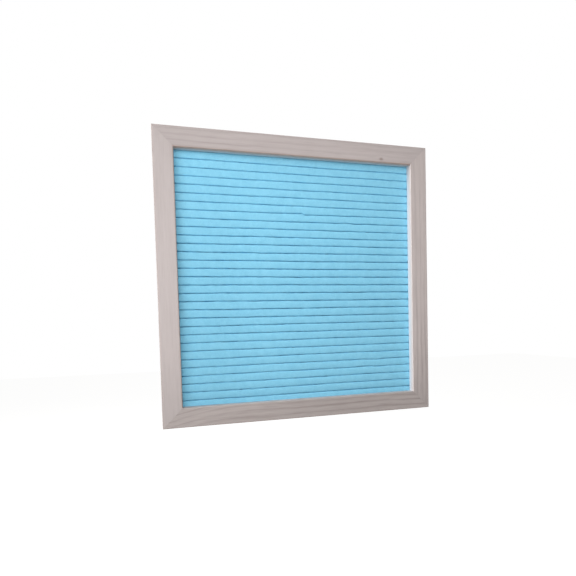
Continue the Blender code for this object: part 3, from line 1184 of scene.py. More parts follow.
@dataclass
class CornerNails:
    """V-shaped steel nails pressed in from the back across the mitres.

    Attributes:
        plan: The board's sizes.
        inset: How far each stands from the board's outer edges.
        span: Its width across the mitre's line.
        rise: The V's height.
        thickness: The strip's thickness.
        height: How deep it goes.
        sunk: How far it lies below the surface.
        squeeze: The room in the wood round it.
        burr: The rounding of its edges.
        corners: Each corner's name and its side to the right and upwards, in turn from the upper right.
    """

    plan: BoardPlan
    inset: float = 5.5 * MM
    span: float = 7.0 * MM
    rise: float = 2.4 * MM
    thickness: float = 0.5 * MM
    height: float = 7.0 * MM
    sunk: float = 0.15 * MM
    squeeze: float = 0.06 * MM
    burr: float = 0.06 * MM
    corners: tuple[tuple[str, int, int], ...] = (
        ("top_right", 1, 1),
        ("top_left", -1, 1),
        ("bottom_left", -1, -1),
        ("bottom_right", 1, -1),
    )

    def strip(self, name: str, thickness: float, low_y: float, high_y: float) -> Blank:
        """One V with its point at +X: a leg is modelled, turned and mirrored.

        Args:
            name: The piece's name.
            thickness: The strip's thickness.
            low_y: Its front end.
            high_y: Its back end.

        Returns:
            The V.
        """
        leg = math.hypot(self.rise, self.span / 2)
        lean = math.atan2(self.rise, self.span / 2)
        blank = Blank.block(name, (-thickness / 2, low_y, -thickness), (thickness / 2, high_y, leg))
        blank.move(Matrix.Translation((self.rise / 2, 0.0, 0.0)) @ Matrix.Rotation(-lean, 4, "Y"))
        blank.modify(
            "MIRROR",
            use_axis=(False, False, True),
            use_bisect_axis=(False, False, True),
            merge_threshold=HAIR,
        )
        # The mirror leaves a wall inside the strip where its halves meet.
        blank.pick_faces(lambda at, to: abs(at.z) < HAIR and abs(to.z) > ALONG)
        bpy.ops.mesh.delete(type="ONLY_FACE")
        blank.close()
        return blank

    def places(self) -> list[tuple[str, Matrix]]:
        """Each corner's name and the matrix that takes a V there.

        Returns:
            A name and a matrix for each corner.
        """
        found = []
        for index, (corner, right, up) in enumerate(self.corners):
            x = right * (self.plan.width / 2 - self.inset)
            z = up * (self.plan.height / 2 - self.inset)
            move = Matrix.Translation(self.plan.centre + Vector((x, 0.0, z)))
            found.append((corner, move @ Matrix.Rotation(math.radians(-45 - 90 * index), 4, "Y")))
        return found

    def pockets(self) -> list[Blank]:
        """The slits that the nails press open in the rails, as cutting tools.

        Returns:
            A tool for each corner.
        """
        wide = self.thickness + 2 * self.squeeze
        tool = self.strip("corner_slit", wide, -self.height - self.squeeze, PROUD)
        cut = [tool.copy(f"corner_slit_{corner}", place) for corner, place in self.places()]
        tool.scrap()
        return cut

    def build(self, steel: bpy.types.Material) -> list[bpy.types.Object]:
        """Models one nail and copies it to each corner.

        Args:
            steel: The nails' finish.

        Returns:
            The nails.
        """
        nail = self.strip("corner_nail", self.thickness, -self.height + self.sunk, -self.sunk)
        nail.modify("BEVEL", width=self.burr, segments=2, limit_method="ANGLE")
        nail.smooth()
        made = []
        for corner, place in self.places():
            copy = nail.copy(f"corner_nail_{corner}", place)
            made.append(copy.dress(steel, Slot.STEEL, f"v_nail_{corner}"))
        nail.scrap()
        return made


@dataclass
class WallHanger:
    """A sawtooth hanger, stamped from strip, and the two nails that hold it to the top rail.

    Attributes:
        plan: The board's sizes.
        thickness: The strip's thickness.
        tab: The length of each flat end.
        ramp: The length of each slope up to the raised middle.
        rise: How far the middle stands off.
        tooth_pitch: The distance between notches.
        tooth_depth: A notch's depth.
        corner: The rounding of the strip's corners.
        shank: A nail's radius.
        head: Its head's radius.
        head_height: Its head's thickness.
        tip: The length of its point.
        round_hole: The room round a nail.
        burr: The rounding of the stamped edges.
        burr_angle: The least angle, in degrees, of an edge that is rounded so.
        corner_steps: The steps of a corner's rounding.
        head_sides: How many sides a nail has.
        head_round: The rounding of its head.
        blunt: The share of its shank's width that is left at its point.
    """

    plan: BoardPlan
    thickness: float = 0.8 * MM
    tab: float = 8.0 * MM
    ramp: float = 2.5 * MM
    rise: float = 1.5 * MM
    tooth_pitch: float = 3.2 * MM
    tooth_depth: float = 1.5 * MM
    corner: float = 1.4 * MM
    shank: float = 0.7 * MM
    head: float = 1.7 * MM
    head_height: float = 0.7 * MM
    tip: float = 1.6 * MM
    round_hole: float = 0.05 * MM
    burr: float = 0.1 * MM
    burr_angle: float = 28.0
    corner_steps: int = 5
    head_sides: int = 24
    head_round: float = 0.28 * MM
    blunt: float = 0.12

    def nail_places(self) -> list[tuple[str, Vector, float]]:
        """Each nail's name, the middle of its head's top and the depth of its point.

        Returns:
            The name, place and depth of both nails.
        """
        found = []
        for side in ("left", "right"):
            low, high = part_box(f"hanger_nail_{side}")
            middle = (low + high) / 2
            found.append((side, Vector((middle.x, high.y, middle.z)), low.y))
        return found

    def bores(self) -> list[Blank]:
        """The nails' holes, as cutting tools.

        Returns:
            A tool for each nail.
        """
        radius = self.shank + self.round_hole
        return [
            Blank.rod(f"nail_bore_{side}", radius, (top.x, top.y + PROUD, top.z), point)
            for side, top, point in self.nail_places()
        ]

    def plate(self) -> Blank:
        """The strip: its raised middle is a block whose ends are extruded down and out to the tabs.

        Returns:
            The strip without notches and holes.
        """
        low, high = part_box("sawtooth_hanger")
        raised = high.x - self.tab - self.ramp
        under = high.y - self.thickness
        blank = Blank.block("sawtooth_plate", (-raised, under, low.z), (raised, high.y, high.z))
        for side in (-1, 1):
            for step in ((side * self.ramp, -self.rise, 0.0), (side * self.tab, 0.0, 0.0)):
                reach = max(abs(vert.co.x) for vert in blank.piece.data.vertices if vert.co.x * side > 0)
                blank.extrude(lambda at, to, s=side, r=reach: to.x * s > ALONG and at.x * s > r - NEAR, step)
        corners = (lambda at, run: abs(run.y) > self.thickness / 2 and abs(at.x) > high.x - MM)
        return blank.bevel(corners, self.corner, self.corner_steps)

    def notches(self) -> Blank:
        """A row of bars on edge, whose upper halves cut the notches between the teeth.

        Returns:
            The row, as a cutting tool.
        """
        low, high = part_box("sawtooth_hanger")
        raised = high.x - self.tab - self.ramp
        beside = int((raised - self.tooth_depth) / self.tooth_pitch)
        half = self.tooth_depth / math.sqrt(2)
        bar = Blank.block("notch_bar", (-half, high.y - PROUD, -half), (half, high.y + PROUD / 2, half))
        bar.move(Matrix.Rotation(math.radians(45), 4, "Y"))
        bar.move(Matrix.Translation((-beside * self.tooth_pitch, 0.0, low.z)))
        bar.modify(
            "ARRAY",
            count=2 * beside + 1,
            use_relative_offset=False,
            use_constant_offset=True,
            constant_offset_displace=(self.tooth_pitch, 0.0, 0.0),
        )
        return bar

    def nail(self, name: str, top: Vector, point: float) -> Blank:
        """A nail from its head down: the head is inset to the shank, which is extruded to its point.

        Args:
            name: The piece's name.
            top: The middle of its head's top.
            point: The Y of its point.

        Returns:
            The nail.
        """
        under = top.y - self.head_height
        blank = Blank.rod(name, self.head, tuple(top), under, self.head_sides)
        inward = (lambda at, to: to.y < -ALONG)
        blank.inset(inward, self.head - self.shank)
        shank_end = point + self.tip
        core = (lambda at, to: to.y < -ALONG and (at.xz - top.xz).length < self.shank / 2)
        blank.extrude(core, (0.0, shank_end - under, 0.0))
        blank.extrude(core, (0.0, -self.tip, 0.0), (self.blunt, 1.0, self.blunt))
        rim = (lambda at, run: at.y > top.y - HAIR and abs(run.y) < HAIR)
        return blank.bevel(rim, self.head_round, 3)

    def build(self, steel: bpy.types.Material) -> list[bpy.types.Object]:
        """Models the plate, cuts its notches and holes, and drives the nails.

        Args:
            steel: The finish of the plate and the nails.

        Returns:
            The plate and the nails.
        """
        plate, row, bores = self.plate(), self.notches(), self.bores()
        plate.cut_by([row, *bores])
        limit = math.radians(self.burr_angle)
        plate.modify("BEVEL", width=self.burr, segments=2, limit_method="ANGLE", angle_limit=limit)
        plate.smooth()
        made = [plate.dress(steel, Slot.STEEL, "sawtooth_hanger")]
        for tool in (row, *bores):
            tool.scrap()
        for side, top, point in self.nail_places():
            nail = self.nail(f"pin_{side}", top, point).smooth()
            made.append(nail.dress(steel, Slot.STEEL, f"hanger_nail_{side}"))
        return made


@dataclass
class FramersPoints:
    """Thin steel tabs, two a rail, driven into the rabbet's wall over the backing board.

    Attributes:
        plan: The board's sizes.
        width: A tab's width.
        thickness: Its thickness.
        embedded: How deep it is driven in.
        tip: The length of its point.
        corner: The rounding of its exposed corners.
        squeeze: The room in the wood round it.
        blunt: The share of its width that is left at its point.
        burr: The rounding of its stamped edges.
        burr_angle: The least angle, in degrees, of an edge that is rounded so.
        ends: The two tabs' names on each side, along the rail.
    """

    plan: BoardPlan
    width: float = 6.0 * MM
    thickness: float = 0.6 * MM
    embedded: float = 4.5 * MM
    tip: float = 3.0 * MM
    corner: float = 0.9 * MM
    squeeze: float = 0.08 * MM
    blunt: float = 0.08
    burr: float = 0.08 * MM
    burr_angle: float = 40.0
    ends: dict[Side, tuple[str, str]] = field(
        default_factory=lambda: {
            Side.TOP: ("left", "right"),
            Side.RIGHT: ("upper", "lower"),
            Side.BOTTOM: ("right", "left"),
            Side.LEFT: ("lower", "upper"),
        }
    )

    def places(self, side: Side) -> list[tuple[str, float, float]]:
        """Each tab's name on a side, its place along the rail and its depth.

        Args:
            side: The side.

        Returns:
            The name, place and depth of both tabs.
        """
        found = []
        for end in self.ends[side]:
            low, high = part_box(f"point_{side.word}_{end}")
            middle = self.plan.place(side).inverted() @ ((low + high) / 2)
            found.append((f"{side.word}_{end}", middle.x, middle.y))
        return found

    def wall(self, side: Side) -> float:
        """The distance from the centre to the rabbet's wall."""
        return self.plan.reach(side) - self.plan.rail_face + self.plan.rabbet

    def slits(self, side: Side) -> list[Blank]:
        """The slits that the tabs cut in a rail at the top of a board at the origin, as cutting tools.

        Args:
            side: The side whose tabs cut them.

        Returns:
            A tool for each tab.
        """
        half, thick = self.width / 2 + self.squeeze, self.thickness / 2 + self.squeeze
        wall = self.wall(side)
        return [
            Blank.block(
                f"slit_{name}",
                (along - half, depth - thick, wall - MM),
                (along + half, depth + thick, wall + self.embedded + self.squeeze),
            )
            for name, along, depth in self.places(side)
        ]

    def build(self, steel: bpy.types.Material) -> list[bpy.types.Object]:
        """Models one tab, its point extruded and drawn in, and copies it to every place.

        Args:
            steel: The tabs' finish.

        Returns:
            The tabs.
        """
        half, thick = self.width / 2, self.thickness / 2
        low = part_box("point_top_left")[0]
        exposed = self.plan.centre.z + self.wall(Side.TOP) - low.z
        low_corner, high_corner = (-half, -thick, -exposed), (half, thick, self.embedded - self.tip)
        tab = Blank.block("framers_point", low_corner, high_corner)
        tab.extrude(lambda at, to: to.z > ALONG, (0.0, 0.0, self.tip), (self.blunt, 1.0, 1.0))
        tab.bevel(lambda at, run: abs(run.y) > thick and at.z < -exposed + NEAR, self.corner, 4)
        limit = math.radians(self.burr_angle)
        tab.modify("BEVEL", width=self.burr, segments=2, limit_method="ANGLE", angle_limit=limit)
        tab.smooth()
        made = []
        for side in Side:
            for name, along, depth in self.places(side):
                place = self.plan.place(side) @ Matrix.Translation((along, depth, self.wall(side)))
                copy = tab.copy(f"framers_point_{name}", place)
                made.append(copy.dress(steel, Slot.STEEL, f"point_{name}"))
        tab.scrap()
        return made


@dataclass
class PineFrame:
    """Four rails, rabbeted at the back for the panel and mitred at the corners.

    Attributes:
        plan: The board's sizes.
        arris: The rounding of the sanded outer edges.
        inner_arris: The rounding of the lip's edge over the felt.
        arris_steps: The steps of that rounding.
        mitre_gap: The open line left between two rails.
        along_cuts: How finely a rail's mesh is divided along it.
        across_cuts: How finely each of its faces is divided across.
        narrow: The width under which a face isn't divided across.
        ridge_depth: The depth of the hollows between raised grain.
        ridge_run: The size of such a hollow along, into and across the rail.
        ridge_seed: What is added to a rail's seed for them.
        wave_depth: The depth of the sander's long waves.
        wave_run: The size of such a wave.
        spare: How much longer than the rail the bar is at each end, before the mitres are sawn.
        finishes: Each rail's finish.
    """

    plan: BoardPlan
    arris: float = 0.6 * MM
    inner_arris: float = 0.7 * MM
    arris_steps: int = 4
    mitre_gap: float = 0.03 * MM
    along_cuts: int = 110
    across_cuts: int = 13
    narrow: float = 2 * MM
    ridge_depth: float = 0.07 * MM
    ridge_run: tuple[float, float, float] = (30 * MM, 1.6 * MM, 1.6 * MM)
    ridge_seed: int = 10
    wave_depth: float = 0.12 * MM
    wave_run: tuple[float, float, float] = (60 * MM, 60 * MM, 60 * MM)
    spare: float = 5.0 * MM
    finishes: dict[Side, WhitewashedPine] = field(default_factory=dict)

    def __post_init__(self) -> None:
        """Chooses the rails' finishes: each rail has colours of its own."""
        self.finishes = {
            Side.TOP: WhitewashedPine(
                Side.TOP,
                wash="#B9AFAD",
                latewood="#A19694",
                ring_width=2.1 * MM,
                pith=(70 * MM, 40 * MM),
                streak=(0.55, 0.35),
                tone=(0.82, 0.89, 0.93, 0.97, 0.95),
                waver=0.8 * MM,
                knot=Knot(along=79.4 * MM, up=2.8 * MM),
                inside="#C2A396",
                painted_felt_light="#B3C6CF",
            ),
            Side.RIGHT: WhitewashedPine(
                Side.RIGHT,
                wash="#C4B9B6",
                latewood="#A39896",
                ring_width=2.1 * MM,
                pith=(60 * MM, -34 * MM),
                streak=(0.15, 0.75),
                tone=(0.91, 0.97, 1.0, 1.0, 0.79),
                waver=0.9 * MM,
                inside="#C8BCB8",
                painted_felt_light="#BFC5CD",
            ),
            Side.BOTTOM: WhitewashedPine(
                Side.BOTTOM,
                wash="#B5ABA8",
                latewood="#8F8481",
                ring_width=2.2 * MM,
                pith=(80 * MM, 46 * MM),
                streak=(0.72, 0.38),
                tone=(0.96, 0.93, 0.93, 0.98, 0.96),
                waver=1.4 * MM,
                sweep=Sweep(start=58 * MM, bend=2.1),
            ),
            Side.LEFT: WhitewashedPine(
                Side.LEFT,
                wash="#BEB4B2",
                latewood="#ABA09E",
                ring_width=5.5 * MM,
                pith=(90 * MM, 20 * MM),
                streak=(0.35, 0.35),
                tone=(0.89, 0.99, 0.97, 0.90, 0.81),
                waver=0.8 * MM,
                inside="#BDA69E",
            ),
        }

    def rail(self, side: Side, seed: int) -> Blank:
        """One rail at the top of a board at the origin.

        Args:
            side: Whose length and place it takes.
            seed: Which part of the patterns its unevenness comes from.

        Returns:
            The rail, sawn off at both mitres.
        """
        plan = self.plan
        half, reach = plan.length(side) / 2, plan.reach(side)
        wall, lip_back = reach - plan.rail_face + plan.rabbet, plan.lip - plan.depth
        end = half + self.spare
        rail = Blank.block(f"pine_rail_{side.word}", (-end, -plan.depth, wall), (end, 0.0, reach))
        rail.saw((0.0, lip_back, 0.0), (0.0, 1.0, 0.0), off=False)
        rail.extrude(lambda at, to: to.z < -ALONG and at.y < lip_back, (0.0, 0.0, -plan.rabbet))
        for inner, width in ((False, self.arris), (True, self.inner_arris)):
            rail.bevel(lambda at, run, i=inner: self.is_arris(at, run, side, i), width, self.arris_steps)
        rail.divide(lambda at, run: abs(run.x) > half, self.along_cuts)
        rail.divide(lambda at, run: abs(run.x) < NEAR and run.length > self.narrow, self.across_cuts)
        rail.roughen(self.wave_depth, self.wave_run, seed)
        rail.roughen(self.ridge_depth, self.ridge_run, seed + self.ridge_seed)
        for sign in (-1, 1):
            waste = Vector((sign, 0.0, -1.0)).normalized()
            corner = Vector((sign * half, 0.0, reach))
            rail.saw(corner - waste * self.mitre_gap / 2, waste, off=True)
        return rail

    def is_arris(self, at: Vector, run: Vector, side: Side, inner: bool) -> bool:
        """Whether an edge of the uncut bar is the lip's sanded edge, or else one of the outer ones.

        Args:
            at: The edge's middle.
            run: Its run.
            side: The rail's side.
            inner: Whether the lip's edge is looked for.

        Returns:
            Whether it is that edge.
        """
        reach, front = self.plan.reach(side), at.y < NEAR - self.plan.depth
        if inner:
            return abs(run.x) > NEAR and front and at.z < reach - self.plan.rail_face + NEAR
        return abs(run.x) > NEAR and (front or at.y > -NEAR) and at.z > reach - NEAR

    def build(self, nails: CornerNails, points: FramersPoints, hanger: WallHanger) -> list[bpy.types.Object]:
        """Models the rails and cuts the pockets that their fittings sit in.

        Args:
            nails: The nails at the mitres.
            points: The tabs in the rabbet.
            hanger: The hanger.

        Returns:
            The rails.
        """
        made = []
        pockets = nails.pockets()
        bores = hanger.bores()
        for number, side in enumerate(Side, 1):
            rail = self.rail(side, number)
            slits = points.slits(side)
            rail.cut_by(slits)
            rail.move(self.plan.place(side))
            rail.cut_by([pocket for pocket in pockets if side.word in pocket.piece.name])
            if side is Side.TOP:
                rail.cut_by(bores)
            for slit in slits:
                slit.scrap()
            rail.smooth()
            finish = self.finishes[side].material(self.plan)
            made.append(rail.dress(finish, Slot.PINE, f"{side.word}_rail"))
        for tool in pockets + bores:
            tool.scrap()
        return made


@dataclass(frozen=True)
class Pucker:
    """A place where a slit strays from its line.

    Attributes:
        groove: Which slit, from the top, the first hidden by the lip being 0.
        across: Its place from the board's middle, to the right.
        width: How long the stray part is.
        shift: How far it strays upwards.
        step: Whether the line jogs there, and doesn't come straight back.
        steep: How steeply it jogs.
        fade: How many widths it takes to come back from a jog.
    """

    groove: int
    across: float
    width: float
    shift: float
    step: bool = False
    steep: float = 3.0
    fade: float = 18.0

    def offset(self, x: np.ndarray) -> np.ndarray:
        """How far the slit strays at each x.

        Args:
            x: The columns.

        Returns:
            The slit's offset upwards at each.
        """
        t = (x - self.across) / self.width
        if self.step:
            return -self.shift * np.tanh(self.steep * t) * np.exp(-np.abs(t) / self.fade)
        return self.shift * np.exp(-(t**2))


@dataclass
class PleatedFelt:
    """One sheet of felt, folded back into the core at every slit, with soft bands between the slits.

    The slits wander a little, open and close along their length, and pucker where the felt was pushed in
    unevenly. The bands swell between them.

    Attributes:
        plan: The board's sizes.
        thickness: The felt's thickness.
        pitch: The distance between slits.
        first: The first slit's distance from the panel's top.
        last_least: The least band below the last slit.
        slit: A slit's usual width near the top and the foot.
        slit_least: Its least width.
        slit_most: Its greatest width.
        looser: How much wider the slits stand about the board's middle.
        looser_reach: How far from the middle they do.
        slit_depth: Its depth behind the shoulders.
        shoulder: The outer radius of the folds at its mouth.
        crown: How far a band stands proud of its shoulders.
        behind_lip: The gap between the lip and the felt.
        column: The width of one column of the sheet's mesh.
        jog_columns: The columns close to a jog.
        band_steps: The steps across a band.
        bend_steps: The steps round a shoulder.
        floor_steps: The steps round a slit's floor.
        rooted: How much of a slit's straying its floor follows.
        crease: The angle in degrees past which a fold shades as an edge.
        bends: The length and height of the waves in a slit's line.
        beads: The length and height of the waves in its width.
        swells: The length and height of the waves in a band's crown.
        stretch: The least and the greatest factor on a wave's length.
        seed: The seed of the sheet's unevenness.
        puckers: The places where a slit strays.
    """

    plan: BoardPlan
    thickness: float = 1.0 * MM
    pitch: float = 7.2 * MM
    first: float = 4.9 * MM
    last_least: float = 2.4 * MM
    slit: float = 0.25 * MM
    slit_least: float = 0.1 * MM
    slit_most: float = 0.8 * MM
    looser: float = 0.15 * MM
    looser_reach: float = 45.0 * MM
    slit_depth: float = 3.6 * MM
    shoulder: float = 1.2 * MM
    crown: float = 0.25 * MM
    behind_lip: float = 0.1 * MM
    column: float = 2.2 * MM
    jog_columns: int = 10
    band_steps: int = 3
    bend_steps: int = 3
    floor_steps: int = 3
    rooted: float = 0.35
    crease: float = 60.0
    bends: Waves = ((190 * MM, 0.11 * MM), (64 * MM, 0.07 * MM), (21 * MM, 0.04 * MM), (9 * MM, 0.03 * MM))
    beads: Waves = ((48 * MM, 0.09 * MM), (17 * MM, 0.08 * MM), (9 * MM, 0.08 * MM), (5.5 * MM, 0.08 * MM))
    swells: Waves = ((85 * MM, 0.06 * MM), (26 * MM, 0.035 * MM), (11 * MM, 0.02 * MM))
    stretch: tuple[float, float] = (0.75, 1.35)
    seed: int = 14
    puckers: tuple[Pucker, ...] = (
        Pucker(0, 0.0, 900.0 * MM, 0.5 * MM),
        Pucker(7, 3.7 * MM, 2.0 * MM, 0.65 * MM, step=True),
        Pucker(8, 45.0 * MM, 6.0 * MM, 0.45 * MM),
        Pucker(8, 57.0 * MM, 6.0 * MM, -0.3 * MM),
        Pucker(9, 50.0 * MM, 5.0 * MM, 0.4 * MM),
        Pucker(26, 74.0 * MM, 6.0 * MM, -0.6 * MM),
        Pucker(27, 62.0 * MM, 7.0 * MM, 0.4 * MM),
        Pucker(27, 78.0 * MM, 7.0 * MM, -0.4 * MM),
    )

    def heights(self) -> list[float]:
        """The height of each slit above the board's centre, from the top down.

        Returns:
            The heights.
        """
        panel_height = self.plan.panel[1].z - self.plan.panel[0].z
        count = int((panel_height - self.first - self.last_least) / self.pitch) + 1
        top = self.plan.panel[1].z - self.plan.centre.z - self.first
        return [top - index * self.pitch for index in range(count)]

    def columns(self) -> np.ndarray:
        """The x of each column of the mesh, closer together at a jog.

        Returns:
            The columns' places, from the left to the right.
        """
        half = self.plan.panel[1].x
        x = np.linspace(-half, half, int(2 * half / self.column) + 1)
        for jog in (pucker for pucker in self.puckers if pucker.step):
            reach = 2 * jog.width
            near = np.abs(x - jog.across) < reach + self.column / 2
            fine = np.linspace(jog.across - reach, jog.across + reach, self.jog_columns)
            x = np.concatenate([x[~near], fine])
        return np.sort(x)

    def wander(self, rng: np.random.Generator, x: np.ndarray, sizes: Waves) -> np.ndarray:
        """A smooth uneven line.

        Args:
            rng: The source of the phases.
            x: Where it is wanted.
            sizes: The length and height of each of its waves.

        Returns:
            Its height at each x.
        """
        line = np.zeros_like(x)
        for length, height in sizes:
            stretched = length * rng.uniform(*self.stretch)
            line += height * np.sin(2 * np.pi * (x / stretched + rng.uniform()))
        return line

    def unevenness(self, x: np.ndarray) -> tuple[np.ndarray, np.ndarray, np.ndarray]:
        """How each slit strays and opens and each band swells.

        Args:
            x: The columns.

        Returns:
            The slits' offsets, their widths and the bands' crowns, by slit and column.
        """
        rng = np.random.default_rng(self.seed)
        stray, width, crown = [], [], []
        for index, height in enumerate(self.heights()):
            line = self.wander(rng, x, self.bends)
            line += sum(p.offset(x) for p in self.puckers if p.groove == index)
            stray.append(line)
            usual = self.slit + self.looser * math.exp(-((height / self.looser_reach) ** 2))
            wide = np.clip(usual + self.wander(rng, x, self.beads), self.slit_least, self.slit_most)
            # The top slit is hidden, and pressed shut by the lip.
            width.append(wide if index else np.full_like(x, self.slit_least))
        for _ in range(len(stray) + 1):
            crown.append(self.crown + self.wander(rng, x, self.swells))
        return np.array(stray), np.array(width), np.array(crown)

    def rows(self, x: np.ndarray) -> tuple[np.ndarray, np.ndarray]:
        """The middle of the felt, row by row from the top down.

        Args:
            x: The columns.

        Returns:
            The depth and the height above the centre of every row at each column.
        """
        heights = self.heights()
        stray, width, crown = self.unevenness(x)
        bend = self.shoulder - self.thickness / 2
        face = -self.plan.depth + self.plan.lip + self.behind_lip + self.crown + self.thickness / 2
        floor_y = face - self.thickness / 2 + self.slit_depth - self.slit / 2
        panel_top = self.plan.panel[1].z - self.plan.centre.z
        y_rows, z_rows = [], []
        upper = np.full_like(x, panel_top)
        for index, height in enumerate(heights):
            wall = (width[index] + self.thickness) / 2
            mouth = height + stray[index]
            root = height + self.rooted * stray[index]
            self.band(y_rows, z_rows, upper, mouth + wall + bend, face, crown[index])
            for step in range(1, self.bend_steps + 1):
                angle = math.pi * (1 + step / self.bend_steps / 2)
                y_rows.append(np.full_like(x, face + bend + bend * math.cos(angle)))
                z_rows.append(mouth + wall + bend + bend * math.sin(angle))
            for step in range(self.floor_steps + 1):
                angle = math.pi * (0.5 - step / self.floor_steps)
                y_rows.append(floor_y + wall * math.cos(angle))
                z_rows.append(root + wall * math.sin(angle))
            for step in range(self.bend_steps):
                angle = math.pi * (0.5 + step / self.bend_steps / 2)
                y_rows.append(np.full_like(x, face + bend + bend * math.cos(angle)))
                z_rows.append(mouth - wall - bend + bend * math.sin(angle))
            upper = mouth - wall - bend
        self.band(y_rows, z_rows, upper, np.full_like(x, -panel_top), face, crown[-1])
        return np.array(y_rows), np.array(z_rows)

    def band(
        self,
        y_rows: list[np.ndarray],
        z_rows: list[np.ndarray],
        top: np.ndarray,
        foot: np.ndarray,
        face: float,
        crown: np.ndarray,
    ) -> None:
        """Adds the rows of one band, which swells between its two shoulders.

        Args:
            y_rows: The depths so far.
            z_rows: The heights so far.
            top: The band's upper edge at each column.
            foot: Its lower edge.
            face: The depth of the felt's middle at its shoulders.
            crown: How far it swells.
        """
        for step in range(self.band_steps + 1):
            share = step / self.band_steps
            y_rows.append(face - crown * (1 - (2 * share - 1) ** 2))
            z_rows.append(top + (foot - top) * share)

    def build(self, finish: bpy.types.Material) -> bpy.types.Object:
        """Args:
            finish: The felt's material.

        Returns:
            The sheet.
        """
        x = self.columns()
        y, z = self.rows(x)
        count, across = y.shape
        points = np.stack([np.broadcast_to(x, y.shape), y, z + self.plan.centre.z], axis=-1).reshape(-1, 3)
        corner = (np.arange(count - 1)[:, None] * across + np.arange(across - 1)).ravel()
        quads = np.stack([corner, corner + across, corner + across + 1, corner + 1], axis=1)
        mesh = bpy.data.meshes.new("pleated_felt")
        mesh.from_pydata(points.tolist(), [], quads.tolist())
        sheet = bpy.data.objects.new("pleated_felt", mesh)
        bpy.context.scene.collection.objects.link(sheet)
        bpy.context.view_layer.objects.active = sheet
        blank = Blank("pleated_felt")
        blank.modify("SOLIDIFY", thickness=self.thickness, offset=0.0, use_even_offset=True)
        blank.smooth(self.crease)
        piece = blank.dress(finish, Slot.FELT, "felt_sheet")
        return piece


@dataclass
class BackBoards:
    """The core that the felt is folded into, and the hardboard that closes the frame behind it.

    Attributes:
        plan: The board's sizes.
        edge: The rounding of the hardboard's sawn edges.
        edge_steps: The steps of that rounding.
        hollow: How unevenly the hardboard lies.
        hollow_run: The size of such a hollow.
        cuts: How finely the hardboard's mesh is divided.
        long_edge: The length past which an edge is divided.
        seed: Which part of the pattern its unevenness comes from.
    """

    plan: BoardPlan
    edge: float = 0.3 * MM
    edge_steps: int = 3
    hollow: float = 0.12 * MM
    hollow_run: tuple[float, float, float] = (45 * MM, 45 * MM, 45 * MM)
    cuts: int = 48
    long_edge: float = 50 * MM
    seed: int = 31

    def build(self) -> list[bpy.types.Object]:
        """Models the hardboard and gives the core its finish.

        Returns:
            The hardboard and the core.
        """
        low, high = self.plan.panel
        back = Blank.block("hardboard_back", low, high)
        back.bevel(lambda at, run: True, self.edge, self.edge_steps)
        back.divide(lambda at, run: run.length > self.long_edge, self.cuts)
        back.roughen(self.hollow, self.hollow_run, self.seed)
        back.smooth()
        hardboard = PressedBoard(
            "hardboard_hot_pressed",
            ground="#8C6647",
            dark="#6E4C33",
            pale="#A98562",
            roughness=0.5,
            fibre=0.9 * MM,
            relief=0.03 * MM,
        )
        fibreboard = PressedBoard(
            "fibreboard_sawn",
            ground="#B4946F",
            dark="#957652",
            pale="#CDB28F",
            roughness=0.85,
            fibre=0.5 * MM,
            relief=0.08 * MM,
        )
        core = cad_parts["grooved_core"]
        core.data.materials.clear()
        core.data.materials.append(fibreboard.material())
        return [back.dress(hardboard.material(), Slot.BACK, "backing_board"), core]


@dataclass(frozen=True)
class SoftLamp:
    """A large soft lamp.

    Attributes:
        name: Its name.
        place: Where it hangs, from the board's centre.
        width: The width of its face.
        height: The height of its face.
        share: How much of the full light it gives a surface at the board's centre.
        facing: Which way that surface faces.
    """

    name: str
    place: tuple[float, float, float]
    width: float
    height: float
    share: float
    facing: tuple[float, float, float]

    def hang(self, centre: Vector) -> None:
        """Hangs the lamp and aims it at the board's centre, with the power that gives its share.

        Args:
            centre: The board's centre.
        """
        away = Vector(self.place)
        slant = away.normalized().dot(Vector(self.facing))
        lamp = bpy.data.lights.new(self.name, "AREA")
        lamp.shape = "RECTANGLE"
        lamp.size = self.width
        lamp.size_y = self.height
        # Face on, P watts at a distance d give P / (pi d)^2 of the light of a white sky.
        lamp.energy = self.share * math.pi**2 * away.length_squared / slant
        held = bpy.data.objects.new(self.name, lamp)
        held.location = centre + away
        held.rotation_euler = away.to_track_quat("Z", "Y").to_euler()
        held.visible_camera = False
        bpy.context.scene.collection.objects.link(held)


@dataclass(frozen=True)
class Viewpoint:
    """Where the photograph was taken from, worked out from the frame's outer and inner corners.

    Attributes:
        place: The camera's place in the row frame.
        heading: How far it looks to the right of straight ahead, in degrees.
        dip: How far it looks down, in degrees.
        roll: Its turn about the line of sight, in degrees.
        focal_pixels: Its focal length in pixels.
        picture_width: The picture's width in pixels.
        axis_below: How far below the picture's middle its axis lies, in pixels.
        sensor: The sensor's width in millimetres.
    """

    place: tuple[float, float, float] = (-102.32 * MM, -368.55 * MM, -159.45 * MM)
    heading: float = 13.853
    dip: float = 2.264
    roll: float = -1.52
    focal_pixels: float = 400.0
    picture_width: float = 576.0
    axis_below: float = 52.0
    sensor: float = 36.0

    def set_up(self) -> None:
        """Puts the camera there."""
        data = bpy.data.cameras.new("photographers_view")
        data.sensor_width = self.sensor
        data.lens = self.focal_pixels / self.picture_width * self.sensor
        data.shift_y = self.axis_below / self.picture_width
        camera = bpy.data.objects.new("photographers_view", data)
        turn = Euler((math.radians(90 - self.dip), 0.0, math.radians(-self.heading)))
        roll = Matrix.Rotation(math.radians(self.roll), 4, "Z")
        camera.matrix_world = Matrix.Translation(self.place) @ turn.to_matrix().to_4x4() @ roll
        bpy.context.scene.collection.objects.link(camera)
        bpy.context.scene.camera = camera


